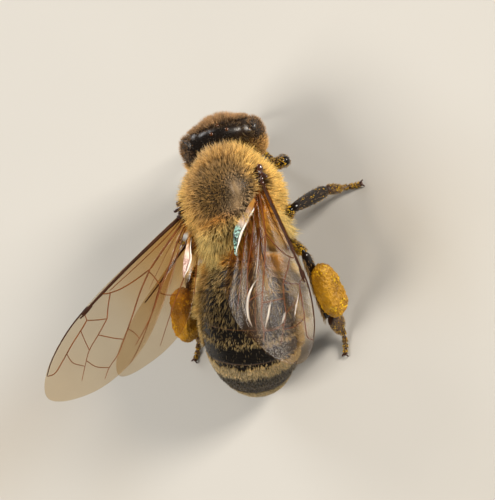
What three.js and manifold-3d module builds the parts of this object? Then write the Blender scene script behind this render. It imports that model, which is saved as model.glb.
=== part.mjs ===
// Western honey bee worker with pollen loads, life size, standing on its six feet.
// Millimetres. +X is the bee's left, +Y its rear, +Z up, and the floor is z = 0.
// The solids reach out to the tips of the coat.

import * as THREE from 'three';
import { mergeVertices } from 'three/addons/utils/BufferGeometryUtils.js';
import Module from 'manifold-3d';

// ---- Driving dimensions ----
const GAP = 0.03;                 // clearance between neighbouring pieces
const THIN = 0.5;                 // least thickness of wings, legs and feelers

const THORAX_HEIGHT = 3.9;        // centre of the thorax above the floor
const THORAX_HALF = { width: 2.34, length: 2.2, height: 2.0 };
const THORAX_FRONT = -2.1;        // flat where the neck leaves it
const THORAX_REAR = 1.86;         // flat where the waist leaves it

const HEAD_CENTRE = { x: -0.26, y: -2.72, z: THORAX_HEIGHT - 0.74 };
const HEAD_HALF = { width: 1.62, length: 0.92, height: 1.66 };
const EYE_HALF = { width: 0.46, length: 0.66, height: 1.12 };
const EYE_OUT = 1.22;             // eye centre from the middle of the head
const EYE_TILT = 0.16;            // the eyes draw together towards the jaws
const HEAD_NOD = 18;              // degrees that the crown tips forwards
const HEAD_ROLL = 16;             // degrees that it leans to the bee's right

const ABDOMEN_START = { x: 0.1, y: 2.1, z: 3.3 };
const ABDOMEN_LENGTH = 5.84;
const ABDOMEN_HALF_WIDTH = 2.16;
const ABDOMEN_FLATNESS = 0.93;    // height over width
const ABDOMEN_WIDEST = 0.31;      // share of the length
const ABDOMEN_YAW = [28, 29];     // degrees to the bee's left, at the waist and at the tip
const ABDOMEN_DROOP = [-2, 62];   // degrees below level, at the waist and at the tip
const ABDOMEN_CURL = 0.88;        // how late the droop sets in
const RING_ENDS = [0.012, 0.21, 0.41, 0.61, 0.8, 0.925, 1];

const POLLEN_HALF = { width: 0.64, length: 1.38, height: 0.64 };
const POLLEN_PLACE = 0.6;         // share of the way from knee to ankle
const POLLEN_OUT = 0.44;          // its middle out from the shank's

const WING_ROOT = { x: 1.72, y: -0.3, z: THORAX_HEIGHT + 0.85 };
const TEGULA_HALF = { width: 0.38, length: 0.42, height: 0.34 };
const FOREWING_LENGTH = 9.3;
const HINDWING_LENGTH = 6.6;
const WING_STEP = 0.54;           // the hindwing's plane below the forewing's

const bee = new THREE.Group();
bee.name = 'honey_bee';
const wasm = await Module();
wasm.setup();

// ---- Materials ----
function finish(colour, roughness, metalness = 0) {
  return new THREE.MeshStandardMaterial({ color: colour, roughness, metalness });
}

const FINISHES = {
  coat: finish('#b8945c', 0.9),
  shell: finish('#1f1711', 0.35),
  ring: finish('#2b211a', 0.5),
  eye: finish('#17110d', 0.2),
  feeler: finish('#20160f', 0.45),
  leg: finish('#1d1510', 0.4),
  wing: finish('#c9a97a', 0.25),
  pollen: finish('#b17a1e', 0.95),
};

// ---- Shapes ----
const point = (x, y, z) => new THREE.Vector3(x, y, z);
const mix = THREE.MathUtils.lerp;
const radians = THREE.MathUtils.degToRad;

// Moves every corner of a geometry with the given function.
function warp(geometry, move) {
  const place = geometry.attributes.position;
  const corner = new THREE.Vector3();
  for (let i = 0; i < place.count; i += 1) {
    corner.fromBufferAttribute(place, i);
    const moved = move(corner);
    place.setXYZ(i, moved.x, moved.y, moved.z);
  }
  return geometry;
}

// A rounded mass: shape turns a point of the unit ball into its own proportions.
function mass(centre, half, { shape = (ball) => ball, sides = 24, rings = 16, grow = 0 } = {}) {
  const ball = new THREE.SphereGeometry(1, sides, rings);
  const size = point(half.width + grow, half.length + grow, half.height + grow);
  return warp(ball, (corner) => shape(corner.clone()).multiply(size).add(centre));
}

// An oval bar along a curve. Width and depth are full sizes, as functions of t from 0 to 1;
// the depth is measured along the thin direction.
function bar(curve, width, depth, thin, { sides = 8, steps = 5, grow = 0 } = {}) {
  const rod = new THREE.CylinderGeometry(1, 1, 1, sides, steps);
  return warp(rod, (corner) => {
    const t = corner.y + 0.5;
    const along = curve.getTangentAt(t);
    const up = thin.clone().addScaledVector(along, -thin.dot(along)).normalize();
    const across = new THREE.Vector3().crossVectors(along, up);
    return curve.getPointAt(t)
      .addScaledVector(along, 2 * grow * (t - 0.5))
      .addScaledVector(across, corner.x * (width(t) / 2 + grow))
      .addScaledVector(up, corner.z * (depth(t) / 2 + grow));
  });
}

// A smooth full size from values spread evenly along a bar.
function sizes(...values) {
  const places = values.map((_, i) => i / (values.length - 1));
  const spline = new THREE.CubicInterpolant(places, values, 1);
  return (t) => spline.evaluate(t)[0];
}

function bareGeometry(geometry) {
  const bare = geometry.clone();
  bare.deleteAttribute('normal');
  bare.deleteAttribute('uv');
  return mergeVertices(bare, 1e-4);
}

function solid(geometry) {
  const bare = bareGeometry(geometry);
  return new wasm.Manifold(new wasm.Mesh({
    numProp: 3,
    vertProperties: new Float32Array(bare.attributes.position.array),
    triVerts: new Uint32Array(bare.index.array),
  }));
}

// The first geometry with the others taken out of it.
function cut(geometry, ...cutters) {
  const left = cutters.reduce((body, cutter) => body.subtract(solid(cutter)), solid(geometry));
  const largest = left.decompose().sort((a, b) => b.volume() - a.volume())[0];
  const mesh = largest.getMesh();
  const result = new THREE.BufferGeometry();
  result.setAttribute('position', new THREE.BufferAttribute(mesh.vertProperties, 3));
  result.setIndex(new THREE.BufferAttribute(mesh.triVerts, 1));
  return result;
}

function add(name, geometry, material) {
  const mesh = new THREE.Mesh(geometry, material);
  mesh.name = name;
  bee.add(mesh);
  return mesh;
}

// ---- Head ----
const headCentre = point(HEAD_CENTRE.x, HEAD_CENTRE.y, HEAD_CENTRE.z);

// Leans a piece of the head aside and tips it forwards, about the head's middle.
function nodded(geometry) {
  const lean = new THREE.Euler(radians(HEAD_NOD), radians(-HEAD_ROLL), 0, 'XYZ');
  return warp(geometry, (corner) => corner.clone().sub(headCentre).applyEuler(lean).add(headCentre));
}

// Broad at the crown and drawn in towards the jaws.
function headShape(ball) {
  const chin = Math.max(0, -ball.z);
  const crown = Math.max(0, ball.z);
  ball.x *= 1 - 0.34 * chin ** 1.6;
  ball.y += 0.12 * chin * chin - 0.1 * crown;
  return ball;
}

// The head is flat behind, where it meets the thorax.
function head(grow = 0) {
  const ball = mass(headCentre, HEAD_HALF, { shape: headShape, grow });
  return warp(nodded(ball), (corner) => {
    corner.y = Math.min(corner.y, THORAX_FRONT - GAP + grow);
    return corner;
  });
}

function eye(side, grow = 0) {
  const centre = headCentre.clone().add(point(side * EYE_OUT, -0.02, 0.02));
  const lean = (ball) => {
    ball.x += side * EYE_TILT * ball.z * (EYE_HALF.height / EYE_HALF.width);
    return ball;
  };
  return nodded(mass(centre, EYE_HALF, { shape: lean, sides: 14, rings: 9, grow }));
}

// The jaws meet below the face, and the tongue is folded back under the head.
function jaws(grow = 0) {
  const curve = new THREE.QuadraticBezierCurve3(
    point(HEAD_CENTRE.x, HEAD_CENTRE.y - 0.42, 1.95),
    point(HEAD_CENTRE.x, HEAD_CENTRE.y - 0.52, 1.5),
    point(HEAD_CENTRE.x, HEAD_CENTRE.y - 0.34, 1.12),
  );
  return nodded(bar(curve, sizes(1.5, 1.3, 0.9), sizes(0.62, 0.6, THIN), point(0, -1, 0), { grow }));
}

function tongue() {
  const curve = new THREE.QuadraticBezierCurve3(
    point(HEAD_CENTRE.x, HEAD_CENTRE.y - 0.05, 1.72),
    point(HEAD_CENTRE.x, HEAD_CENTRE.y + 0.05, 0.92),
    point(HEAD_CENTRE.x, HEAD_CENTRE.y + 0.72, 1.0),
  );
  return nodded(bar(curve, sizes(0.9, 0.75, THIN), () => THIN, point(0, -1, 0.2)));
}

const eyes = [1, -1].map((side) => eye(side, GAP));
const headGrown = head(GAP);
add('head', cut(head(), ...eyes), FINISHES.coat);
add('eye_left', eye(1), FINISHES.eye);
add('eye_right', eye(-1), FINISHES.eye);
add('mandibles', cut(jaws(), headGrown), FINISHES.shell);
add('proboscis', cut(tongue(), headGrown, jaws(GAP)), FINISHES.shell);

// ---- Feelers ----
// Both hang down in front of the face; the right one is held a little wider.
const FEELERS = {
  left: { root: [0.2, -3.48, 2.82], elbow: [0.82, -3.7, 2.3], tip: [0.66, -4.28, 0.42] },
  right: { root: [-0.5, -3.48, 2.62], elbow: [-1.25, -3.66, 2.5], tip: [-0.66, -4.15, 0.5] },
};

function feelers(side, { root, elbow, tip }) {
  const from = point(...root);
  const bend = point(...elbow);
  const to = point(...tip);
  const scapeCurve = new THREE.LineCurve3(from, bend);
  const forward = point(0, -1, 0);
  const even = () => THIN;
  const scape = (grow) => bar(scapeCurve, even, even, forward, { steps: 3, grow });
  const sag = bend.clone().lerp(to, 0.5).add(point(0, -0.22, 0));
  const lashCurve = new THREE.QuadraticBezierCurve3(bend, sag, to);
  const lash = bar(lashCurve, even, even, forward, { steps: 6 });
  add(`antenna_${side}_scape`, cut(scape(0), headGrown, ...eyes), FINISHES.feeler);
  add(`antenna_${side}_flagellum`, cut(lash, scape(GAP), headGrown, ...eyes), FINISHES.feeler);
}

Object.entries(FEELERS).forEach(([side, feeler]) => feelers(side, feeler));

// ---- Thorax ----
const thoraxCentre = point(0, -0.08, THORAX_HEIGHT);

// Domed above, narrower below, with the small back plate swelling over the waist.
function thoraxShape(ball) {
  const below = Math.max(0, -ball.z);
  const plate = Math.max(0, ball.y) * Math.max(0, ball.z);
  ball.x *= 1 - 0.16 * below ** 1.5;
  ball.z += 0.16 * plate;
  ball.y += 0.1 * plate;
  const rear = (THORAX_REAR - thoraxCentre.y) / THORAX_HALF.length;
  const front = (THORAX_FRONT - thoraxCentre.y) / THORAX_HALF.length;
  ball.y = THREE.MathUtils.clamp(ball.y, front, rear);
  return ball;
}

const thoraxGrown = mass(thoraxCentre, THORAX_HALF, { shape: thoraxShape, grow: GAP });
const thorax = mass(thoraxCentre, THORAX_HALF, { shape: thoraxShape, sides: 28, rings: 18 });
add('thorax', thorax, FINISHES.coat);

// ---- Abdomen ----
// The middle line turns to the bee's left and droops towards the tip.
const abdomenDroop = (t) => radians(mix(...ABDOMEN_DROOP, t ** ABDOMEN_CURL));

class AbdomenLine extends THREE.Curve {
  getPoint(t, target = new THREE.Vector3()) {
    const steps = 24;
    target.set(ABDOMEN_START.x, ABDOMEN_START.y, ABDOMEN_START.z);
    for (let i = 0; i < steps; i += 1) {
      const part = (t * (i + 0.5)) / steps;
      const yaw = radians(mix(...ABDOMEN_YAW, part));
      const droop = abdomenDroop(part);
      const step = (ABDOMEN_LENGTH * t) / steps;
      target.x += step * Math.sin(yaw) * Math.cos(droop);
      target.y += step * Math.cos(yaw) * Math.cos(droop);
      target.z -= step * Math.sin(droop);
    }
    return target;
  }

  getTangent(t, target = new THREE.Vector3()) {
    const yaw = radians(mix(...ABDOMEN_YAW, t));
    const droop = abdomenDroop(t);
    const level = Math.cos(droop);
    return target.set(Math.sin(yaw) * level, Math.cos(yaw) * level, -Math.sin(droop));
  }

  getPointAt(t, target) {
    return this.getPoint(t, target);
  }

  getTangentAt(t, target) {
    return this.getTangent(t, target);
  }
}

// Half width at a share of the length: blunt in front, drawn out to the tip behind.
function abdomenHalf(t) {
  if (t < ABDOMEN_WIDEST) {
    const ahead = (ABDOMEN_WIDEST - t) / ABDOMEN_WIDEST;
    return ABDOMEN_HALF_WIDTH * (1 - ahead ** 2.9) ** 0.3;
  }
  const behind = (t - ABDOMEN_WIDEST) / (1 - ABDOMEN_WIDEST);
  return ABDOMEN_HALF_WIDTH * (1 - (0.995 * behind) ** 2.45) ** 0.455;
}

const abdomenLine = new AbdomenLine();

// One ring of the abdomen between two shares of its length; its hind rim stands out a little.
function ring(from, to, grow = 0) {
  const rod = new THREE.CylinderGeometry(1, 1, 1, 22, 3);
  return warp(rod, (corner) => {
    const share = corner.y + 0.5;
    const t = mix(from, to, share);
    const along = abdomenLine.getTangent(t);
    const across = new THREE.Vector3(along.y, -along.x, 0).normalize();
    const up = new THREE.Vector3().crossVectors(across, along);
    const half = abdomenHalf(t) * mix(0.985, 1.012, share) + grow;
    return abdomenLine.getPoint(t)
      .addScaledVector(across, corner.x * half)
      .addScaledVector(up, corner.z * half * ABDOMEN_FLATNESS);
  });
}

const RING_SLIT = GAP / ABDOMEN_LENGTH;
for (let i = 0; i + 1 < RING_ENDS.length; i += 1) {
  const from = RING_ENDS[i] + (i > 0 ? RING_SLIT : 0);
  const whole = ring(from, RING_ENDS[i + 1]);
  add(`abdomen_${i + 1}`, i > 0 ? whole : cut(whole, thoraxGrown), FINISHES.ring);
}

const firstRingGrown = ring(RING_ENDS[0], RING_ENDS[1], GAP);

const waistStart = point(ABDOMEN_START.x, THORAX_REAR + GAP, ABDOMEN_START.z + 0.02);
const waistEnd = abdomenLine.getPoint(RING_ENDS[0]).addScaledVector(abdomenLine.getTangent(0), -2 * GAP);
const waistKnee = point(ABDOMEN_START.x, mix(waistStart.y, waistEnd.y, 0.5), ABDOMEN_START.z + 0.01);
const waistLine = new THREE.QuadraticBezierCurve3(waistStart, waistKnee, waistEnd);
add('petiole', bar(waistLine, () => 0.8, () => 0.8, point(0, 0, 1), { sides: 12, steps: 3 }), FINISHES.shell);

// ---- Legs ----
// Each leg's joints; the instep is the far end of the long first foot joint.
// The feet of one pair differ, because the bee is reaching and turning.
const SOLE = 0.09;                // the middle of a claw joint above the floor
const LEGS = {
  foreleg_left: {
    hip: [0.75, -1.45, 2.2], knee: [2.2, -1.3, 2.65], ankle: [1.7, -1.85, 1.2],
    instep: [1.2, -2.15, 0.42], claws: [0.85, -2.95, SOLE],
  },
  foreleg_right: {
    hip: [-0.75, -1.45, 2.2], knee: [-2.32, -1.24, 2.65], ankle: [-1.75, -1.75, 1.2],
    instep: [-1.2, -2.1, 0.42], claws: [-0.75, -2.85, SOLE],
  },
  middle_leg_left: {
    hip: [1, 0.4, 2.15], knee: [2.35, 0.55, 3.25], ankle: [3.1, 0.05, 1.45],
    instep: [3.35, -0.15, 0.46], claws: [3.85, -0.8, SOLE],
  },
  middle_leg_right: {
    hip: [-1.15, 1.05, 2.5], knee: [-2.2, 1.02, 3.55], ankle: [-3.22, 0.26, 1.6],
    instep: [-3.5, 0.08, 0.5], claws: [-4.16, 0.12, SOLE],
  },
  hind_leg_left: {
    hip: [1, 1.35, 2.2], knee: [2.85, 1.75, 3.45], ankle: [3.92, 3.52, 1.75],
    instep: [4.25, 3.3, 0.5], claws: [4.85, 4, SOLE],
  },
  hind_leg_right: {
    hip: [-1, 1.6, 2.3], knee: [-2.2, 3.02, 3.95], ankle: [-1.74, 5.15, 1.82],
    instep: [-1.62, 5.45, 0.5], claws: [-1.25, 6.35, SOLE],
  },
};

// The hind shank and first foot joint are broad and flat, and carry the pollen.
function legSizes(name) {
  const hind = name.startsWith('hind');
  return {
    femur: sizes(THIN, 0.66, 0.6, THIN),
    tibia: hind ? sizes(THIN, 0.8, 1.06, 1.1) : sizes(THIN, 0.56, 0.6, 0.56),
    tarsus: hind ? sizes(0.92, 0.98, 0.8, THIN, THIN, THIN) : sizes(0.54, 0.54, THIN, THIN, THIN, THIN),
  };
}

function legBars(name, { hip, knee, ankle, instep, claws }, grow = 0) {
  const side = Math.sign(knee.x);
  const width = legSizes(name);
  const thin = point(side, name.startsWith('hind') ? 0.35 : 0, 0.25);
  const depth = () => THIN;
  const sole = instep.clone().lerp(claws, 0.6).setZ(mix(claws.z, instep.z, 0.12));
  const footLine = new THREE.CatmullRomCurve3([ankle, instep, sole, claws], false, 'centripetal');
  const foot = bar(footLine, width.tarsus, depth, thin, { steps: 7, grow });
  return {
    femur: bar(new THREE.LineCurve3(hip, knee), width.femur, depth, thin, { steps: 3, grow }),
    tibia: bar(new THREE.LineCurve3(knee, ankle), width.tibia, depth, thin, { steps: 3, grow }),
    tarsus: warp(foot, (corner) => corner.setZ(Math.max(corner.z, 0))),
  };
}

// A lump of packed pollen on the outer side of the hind shank, heavier below.
function pollenLoad({ knee, ankle }) {
  const side = Math.sign(knee.x);
  const line = new THREE.Vector3().subVectors(ankle, knee).normalize();
  const aside = point(side, 0.9, 0);
  const outward = aside.clone().addScaledVector(line, -aside.dot(line)).normalize();
  const centre = knee.clone().lerp(ankle, POLLEN_PLACE).addScaledVector(outward, POLLEN_OUT);
  const across = new THREE.Vector3().crossVectors(line, outward);
  const turn = new THREE.Matrix4().makeBasis(across, line, outward);
  const heavyEnd = (ball) => {
    ball.x *= 1 + 0.14 * ball.y;
    ball.z *= 1 + 0.12 * ball.y;
    return ball;
  };
  const load = mass(point(0, 0, 0), POLLEN_HALF, { shape: heavyEnd, sides: 16, rings: 10 });
  return load.applyMatrix4(turn.setPosition(centre));
}

Object.entries(LEGS).forEach(([name, places]) => {
  const joints = Object.fromEntries(
    Object.entries(places).map(([joint, place]) => [joint, point(...place)]),
  );
  const piece = legBars(name, joints);
  const grown = legBars(name, joints, GAP);
  add(`${name}_femur`, cut(piece.femur, thoraxGrown, firstRingGrown), FINISHES.leg);
  add(`${name}_tibia`, cut(piece.tibia, grown.femur), FINISHES.leg);
  add(`${name}_tarsus`, cut(piece.tarsus, grown.tibia), FINISHES.leg);
  if (name.startsWith('hind')) {
    const load = pollenLoad(joints);
    const loadName = name.replace('hind_leg', 'pollen_load');
    add(loadName, cut(load, grown.femur, grown.tibia, grown.tarsus), FINISHES.pollen);
  }
});

// ---- Wings ----
// Outlines in a wing's own plane: along the wing from its root, and back from its front edge.
const FOREWING = [
  [0, -0.1], [2.4, -0.06], [4.8, -0.02], [6.9, 0.28], [8.3, 0.84], [8.95, 1.55], [8.6, 2.22],
  [7.5, 2.8], [6.2, 3.02], [4.9, 2.86], [3.5, 2.3], [2.1, 1.5], [0.9, 0.72], [0, 0.4],
].map(([along, back]) => new THREE.Vector2(along, back));
const HINDWING = [
  [0, -0.15], [2, -0.1], [4, -0.08], [5.6, 0.2], [6.35, 0.72], [5.9, 1.26], [4.7, 1.74],
  [3.3, 1.86], [2.1, 1.4], [1, 0.82], [0.2, 0.4],
].map(([along, back]) => new THREE.Vector2(along, back));

// Directions of the front edges, the twist of each wing about it, and how far its
// hindwing swings back from it. The left wings are held out and the right ones folded.
const WINGS = {
  left: { span: [0.82, 0.45, 0.34], twist: 0, hang: 12 },
  right: { span: [-0.228, 0.948, 0.4115], twist: 0.5, hang: 14 },
};

function wingPlate(outline, length, points) {
  const scale = length / Math.max(...outline.map((corner) => corner.x));
  const edge = new THREE.SplineCurve([...outline, outline[0]]).getPoints(points);
  const shape = new THREE.Shape(edge.map((corner) => corner.multiplyScalar(scale)));
  const plate = new THREE.ExtrudeGeometry(shape, { depth: THIN, bevelEnabled: false, steps: 1 });
  return plate.translate(0, 0, -THIN / 2);
}

// The frame of a wing: X along it, Y back across it, Z its upper side.
function wingFrame(side, { span, twist }) {
  const along = point(...span).normalize();
  const upright = point(0, 0, 1).addScaledVector(along, -along.z).normalize();
  const level = new THREE.Vector3().crossVectors(along, upright).multiplyScalar(-side);
  const lean = radians(twist);
  const back = level.multiplyScalar(Math.cos(lean)).addScaledVector(upright, Math.sin(lean));
  const top = new THREE.Vector3().crossVectors(along, back).multiplyScalar(side);
  return { along, back, top };
}

function placed(plate, side, { along, back, top }, root) {
  const turn = new THREE.Matrix4().makeBasis(along, back, top.clone().multiplyScalar(side));
  return plate.applyMatrix4(turn.setPosition(root));
}

Object.entries(WINGS).forEach(([name, wing]) => {
  const side = name === 'left' ? 1 : -1;
  const frame = wingFrame(side, wing);
  const root = point(side * WING_ROOT.x, WING_ROOT.y, WING_ROOT.z);
  const knobCentre = root.clone().add(point(side * 0.06, -0.16, 0.06));
  const knob = (grow) => mass(knobCentre, TEGULA_HALF, { sides: 12, rings: 8, grow });
  add(`tegula_${name}`, cut(knob(0), thoraxGrown), FINISHES.shell);

  const fore = placed(wingPlate(FOREWING, FOREWING_LENGTH, 44), side, frame, root);
  add(`forewing_${name}`, cut(fore, thoraxGrown, knob(GAP)), FINISHES.wing);

  const hang = radians(wing.hang);
  const hindFrame = {
    along: frame.along.clone().multiplyScalar(Math.cos(hang)).addScaledVector(frame.back, Math.sin(hang)),
    back: frame.back.clone().multiplyScalar(Math.cos(hang)).addScaledVector(frame.along, -Math.sin(hang)),
    top: frame.top,
  };
  const hindRoot = root.clone()
    .addScaledVector(frame.along, 0.3)
    .addScaledVector(frame.back, 0.72)
    .addScaledVector(frame.top, -WING_STEP);
  const hind = placed(wingPlate(HINDWING, HINDWING_LENGTH, 36), side, hindFrame, hindRoot);
  add(`hindwing_${name}`, cut(hind, thoraxGrown), FINISHES.wing);
});

// ---- Stand the bee over the origin ----
const box = new THREE.Box3().setFromObject(bee);
const middle = box.getCenter(new THREE.Vector3());
bee.position.set(-middle.x, -middle.y, -box.min.z);

export default bee;
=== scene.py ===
import math

import bpy
import numpy as np
from mathutils import Matrix, Vector, kdtree


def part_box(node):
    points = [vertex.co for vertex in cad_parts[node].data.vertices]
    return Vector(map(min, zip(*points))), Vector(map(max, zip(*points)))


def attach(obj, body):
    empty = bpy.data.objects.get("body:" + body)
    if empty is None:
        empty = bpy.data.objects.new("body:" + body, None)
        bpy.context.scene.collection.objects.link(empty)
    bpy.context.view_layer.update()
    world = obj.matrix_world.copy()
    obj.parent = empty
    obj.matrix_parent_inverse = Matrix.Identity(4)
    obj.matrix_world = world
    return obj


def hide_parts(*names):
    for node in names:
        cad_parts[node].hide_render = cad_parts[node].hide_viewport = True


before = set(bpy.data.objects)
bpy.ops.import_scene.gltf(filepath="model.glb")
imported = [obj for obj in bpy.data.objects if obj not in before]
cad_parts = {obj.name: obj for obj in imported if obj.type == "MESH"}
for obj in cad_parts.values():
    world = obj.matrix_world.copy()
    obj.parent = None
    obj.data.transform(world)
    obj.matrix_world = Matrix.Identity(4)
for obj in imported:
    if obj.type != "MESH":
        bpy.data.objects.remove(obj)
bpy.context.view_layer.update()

bpy.ops.object.select_all(action="DESELECT")

# A honey bee worker, modelled in millimetres and settled into the frame, in metres, piece by piece.
# +X is the bee's left, +Y its rear, +Z up; the floor is z = 0 and the thorax is centred on x = 0.
THORAX_FRONT = -2.1
low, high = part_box("thorax")
PLACE = Matrix.Translation(((low.x + high.x) / 2, low.y - THORAX_FRONT * 0.001, 0)) @ Matrix.Scale(0.001, 4)
LUCK = np.random.default_rng(20)

# ---- Measures of the body, in millimetres ----
HEAD = np.array([-0.26, -2.72, 3.16])
HEAD_NOD = 9
HEAD_ROLL = 16
EYE_HALF = np.array([0.46, 0.66, 1.12])
EYE_MIDDLE = np.array([1.22, -0.02, 0.02])
EYE_TILT = 0.12

THORAX = np.array([0, -0.08, 3.9])
THORAX_HALF = np.array([2.34, 2.2, 2.0])

ABDOMEN_START = np.array([0.1, 2.1, 3.3])
ABDOMEN_LENGTH = 5.84
ABDOMEN_HALF_WIDTH = 2.16
ABDOMEN_FLATNESS = 0.93
ABDOMEN_WIDEST = 0.31
ABDOMEN_YAW = (28, 29)
ABDOMEN_DROOP = (-2, 62)
ABDOMEN_CURL = 0.88
RING_ENDS = (0.012, 0.21, 0.41, 0.61, 0.8, 0.925, 1)

SHELL_WALL = 0.05

POLLEN_HALF = np.array([0.56, 1.22, 0.56])
POLLEN_PLACE = 0.6
POLLEN_OUT = 0.44
POLLEN_FLAT = 0.62

WING_ROOT = np.array([1.72, -0.3, 4.75])
FOREWING_LENGTH = 9.3
HINDWING_LENGTH = 6.6
WING_STEP = 0.54
MEMBRANE_WALL = 0.02
SIDES = {"left": 1, "right": -1}

# Each leg's hip, knee, ankle, instep and claws. Claws and soles touch the floor at z = 0.
LEGS = {
    "foreleg_left": (
        (0.75, -1.45, 2.2), (2.2, -1.3, 2.65), (1.7, -1.85, 1.2), (1.2, -2.15, 0.42), (0.85, -2.95, 0.09)),
    "foreleg_right": (
        (-0.75, -1.45, 2.2), (-2.32, -1.24, 2.65), (-1.75, -1.75, 1.2), (-1.2, -2.1, 0.42),
        (-0.75, -2.85, 0.09)),
    "middle_leg_left": (
        (1, 0.4, 2.15), (2.35, 0.55, 3.25), (3.1, 0.05, 1.45), (3.35, -0.15, 0.46), (3.85, -0.8, 0.09)),
    "middle_leg_right": (
        (-1.15, 1.05, 2.5), (-2.2, 1.02, 3.55), (-3.22, 0.26, 1.6), (-3.5, 0.08, 0.5), (-4.16, 0.12, 0.09)),
    "hind_leg_left": (
        (1, 1.35, 2.2), (2.85, 1.75, 3.45), (3.92, 3.52, 1.75), (4.25, 3.3, 0.5), (4.85, 4, 0.09)),
    "hind_leg_right": (
        (-1, 1.6, 2.3), (-2.2, 3.02, 3.95), (-1.74, 5.15, 1.82), (-1.62, 5.45, 0.5), (-1.25, 6.35, 0.09)),
}


# ---- Arrays of points ----
def unit(v):
    """Vectors at length one."""
    return v / np.maximum(np.linalg.norm(v, axis=-1, keepdims=True), 1e-9)


def ease(x, low=0.0, high=1.0):
    """A smooth step from 0 to 1 between low and high."""
    s = np.clip((x - low) / (high - low), 0, 1)
    return s * s * (3 - 2 * s)


def through(points, t):
    """A smooth line through evenly spread points or values, at shares t of it."""
    p = np.asarray(points, float)
    p = p.reshape(len(p), -1)
    p = np.vstack([2 * p[0] - p[1], p, 2 * p[-1] - p[-2]])
    x = np.clip(np.atleast_1d(t), 0, 1) * (len(p) - 3)
    i = np.minimum(x.astype(int), len(p) - 4)
    f = (x - i)[:, None]
    a, b, c, d = p[i], p[i + 1], p[i + 2], p[i + 3]
    return 0.5 * (2 * b + (c - a) * f + (2 * a - 5 * b + 4 * c - d) * f**2 + (3 * b - a - 3 * c + d) * f**3)


def points_of(piece):
    """The corners of a piece, as rows of x, y and z."""
    flat = np.empty(len(piece.data.vertices) * 3)
    piece.data.vertices.foreach_get("co", flat)
    return flat.reshape(-1, 3)


def move_points(piece, shape):
    """Every point of a piece goes where shape sends it."""
    piece.data.vertices.foreach_set("co", np.ascontiguousarray(shape(points_of(piece))).ravel())
    piece.data.update()
    return piece


HEAD_TURN = np.array(Matrix.Rotation(math.radians(HEAD_NOD), 3, "X")
    @ Matrix.Rotation(math.radians(-HEAD_ROLL), 3, "Y"))


def nod(p):
    """Tips points of the head forwards and leans them to the bee's right, about the head's middle."""
    return (np.asarray(p, float) - HEAD) @ HEAD_TURN.T + HEAD


def upright(p):
    """Undoes the nod, so that places on the head can be told by their height."""
    return (np.asarray(p, float) - HEAD) @ HEAD_TURN + HEAD


# ---- Modelling ----
def select(*pieces):
    """Selects these pieces alone, the first of them active."""
    bpy.ops.object.select_all(action="DESELECT")
    for piece in pieces:
        piece.select_set(True)
    bpy.context.view_layer.objects.active = pieces[0]


def close_up(piece):
    """Merges seams and poles, and turns every face outwards."""
    select(piece)
    bpy.ops.object.mode_set(mode="EDIT")
    bpy.ops.mesh.select_all(action="SELECT")
    bpy.ops.mesh.remove_doubles(threshold=2e-4)
    bpy.ops.mesh.normals_make_consistent(inside=False)
    bpy.ops.object.mode_set(mode="OBJECT")
    return piece


def joined(pieces):
    """Makes several pieces one."""
    select(*pieces)
    if len(pieces) > 1:
        bpy.ops.object.join()
    return bpy.context.object


def finished(piece, kind, **settings):
    """Adds a modifier and applies it."""
    select(piece)
    modifier = piece.modifiers.new(kind.lower(), kind)
    for key, value in settings.items():
        setattr(modifier, key, value)
    bpy.ops.object.modifier_apply(modifier=modifier.name)
    return piece


def settle(piece, name, material, slot, *nodes):
    """Puts a finished piece in the frame, riding on the body, in place of its CAD nodes."""
    piece.name = piece.data.name = name
    piece.data.materials.clear()
    piece.data.materials.append(material)
    piece.data.shade_smooth()
    piece.data.transform(PLACE)
    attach(piece, "root")
    if nodes:
        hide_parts(*nodes)
    return piece


def ball(centre, half, turn=(0, 0, 0), around=40, rings=28, shape=None):
    """A rounded mass; shape first moves the points of the unit ball."""
    bpy.ops.mesh.primitive_uv_sphere_add(segments=around, ring_count=rings, radius=1)
    piece = bpy.context.object
    if shape:
        move_points(piece, shape)
    piece.data.transform(Matrix.Diagonal((*half, 1)))
    about_x, about_y, about_z = (Matrix.Rotation(math.radians(a), 4, axis) for a, axis in zip(turn, "XYZ"))
    piece.data.transform(about_z @ about_y @ about_x)
    piece.data.transform(Matrix.Translation([float(c) for c in centre]))
    return piece


def bar_surface(path, width, depth, thin, t, angle, caps=(0.08, 0.08)):
    """Points on a bar with rounded ends: width is across it, depth along the thin direction."""
    step = 1e-3
    along = unit(through(path, np.clip(t + step, 0, 1)) - through(path, np.clip(t - step, 0, 1)))
    up = unit(np.asarray(thin, float) - along * (along @ np.asarray(thin, float))[:, None])
    across = np.cross(along, up)
    front = np.clip(t / caps[0], 0, 1)
    back = np.clip((1 - t) / caps[1], 0, 1)
    swell = np.sqrt(np.clip(1 - (1 - front) ** 2, 0, 1)) * np.sqrt(np.clip(1 - (1 - back) ** 2, 0, 1))
    wide = through(width, t)[:, 0] / 2 * swell
    deep = through(depth, t)[:, 0] / 2 * swell
    beside, above = across * (np.cos(angle) * wide)[:, None], up * (np.sin(angle) * deep)[:, None]
    return through(path, t) + beside + above


def bar(path, width, depth, thin, around=18, rings=22, caps=(0.08, 0.08)):
    """A closed bar drawn out of a ball along a path."""
    bpy.ops.mesh.primitive_uv_sphere_add(segments=around, ring_count=rings, radius=1)
    piece = bpy.context.object
    move_points(piece, lambda p: bar_surface(path, width, depth, thin, (1 + p[:, 2]) / 2,
        np.arctan2(p[:, 1], p[:, 0]), caps))
    return close_up(piece)


def plate(columns, rows, surface, thickness):
    """A thin closed plate: a grid laid on a surface, given its wall inwards."""
    bpy.ops.mesh.primitive_grid_add(x_subdivisions=columns, y_subdivisions=rows, size=2)
    piece = bpy.context.object
    move_points(piece, lambda p: surface((p[:, 0] + 1) / 2, (p[:, 1] + 1) / 2))
    return finished(piece, "SOLIDIFY", thickness=thickness, offset=-1, use_even_offset=False)


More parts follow.
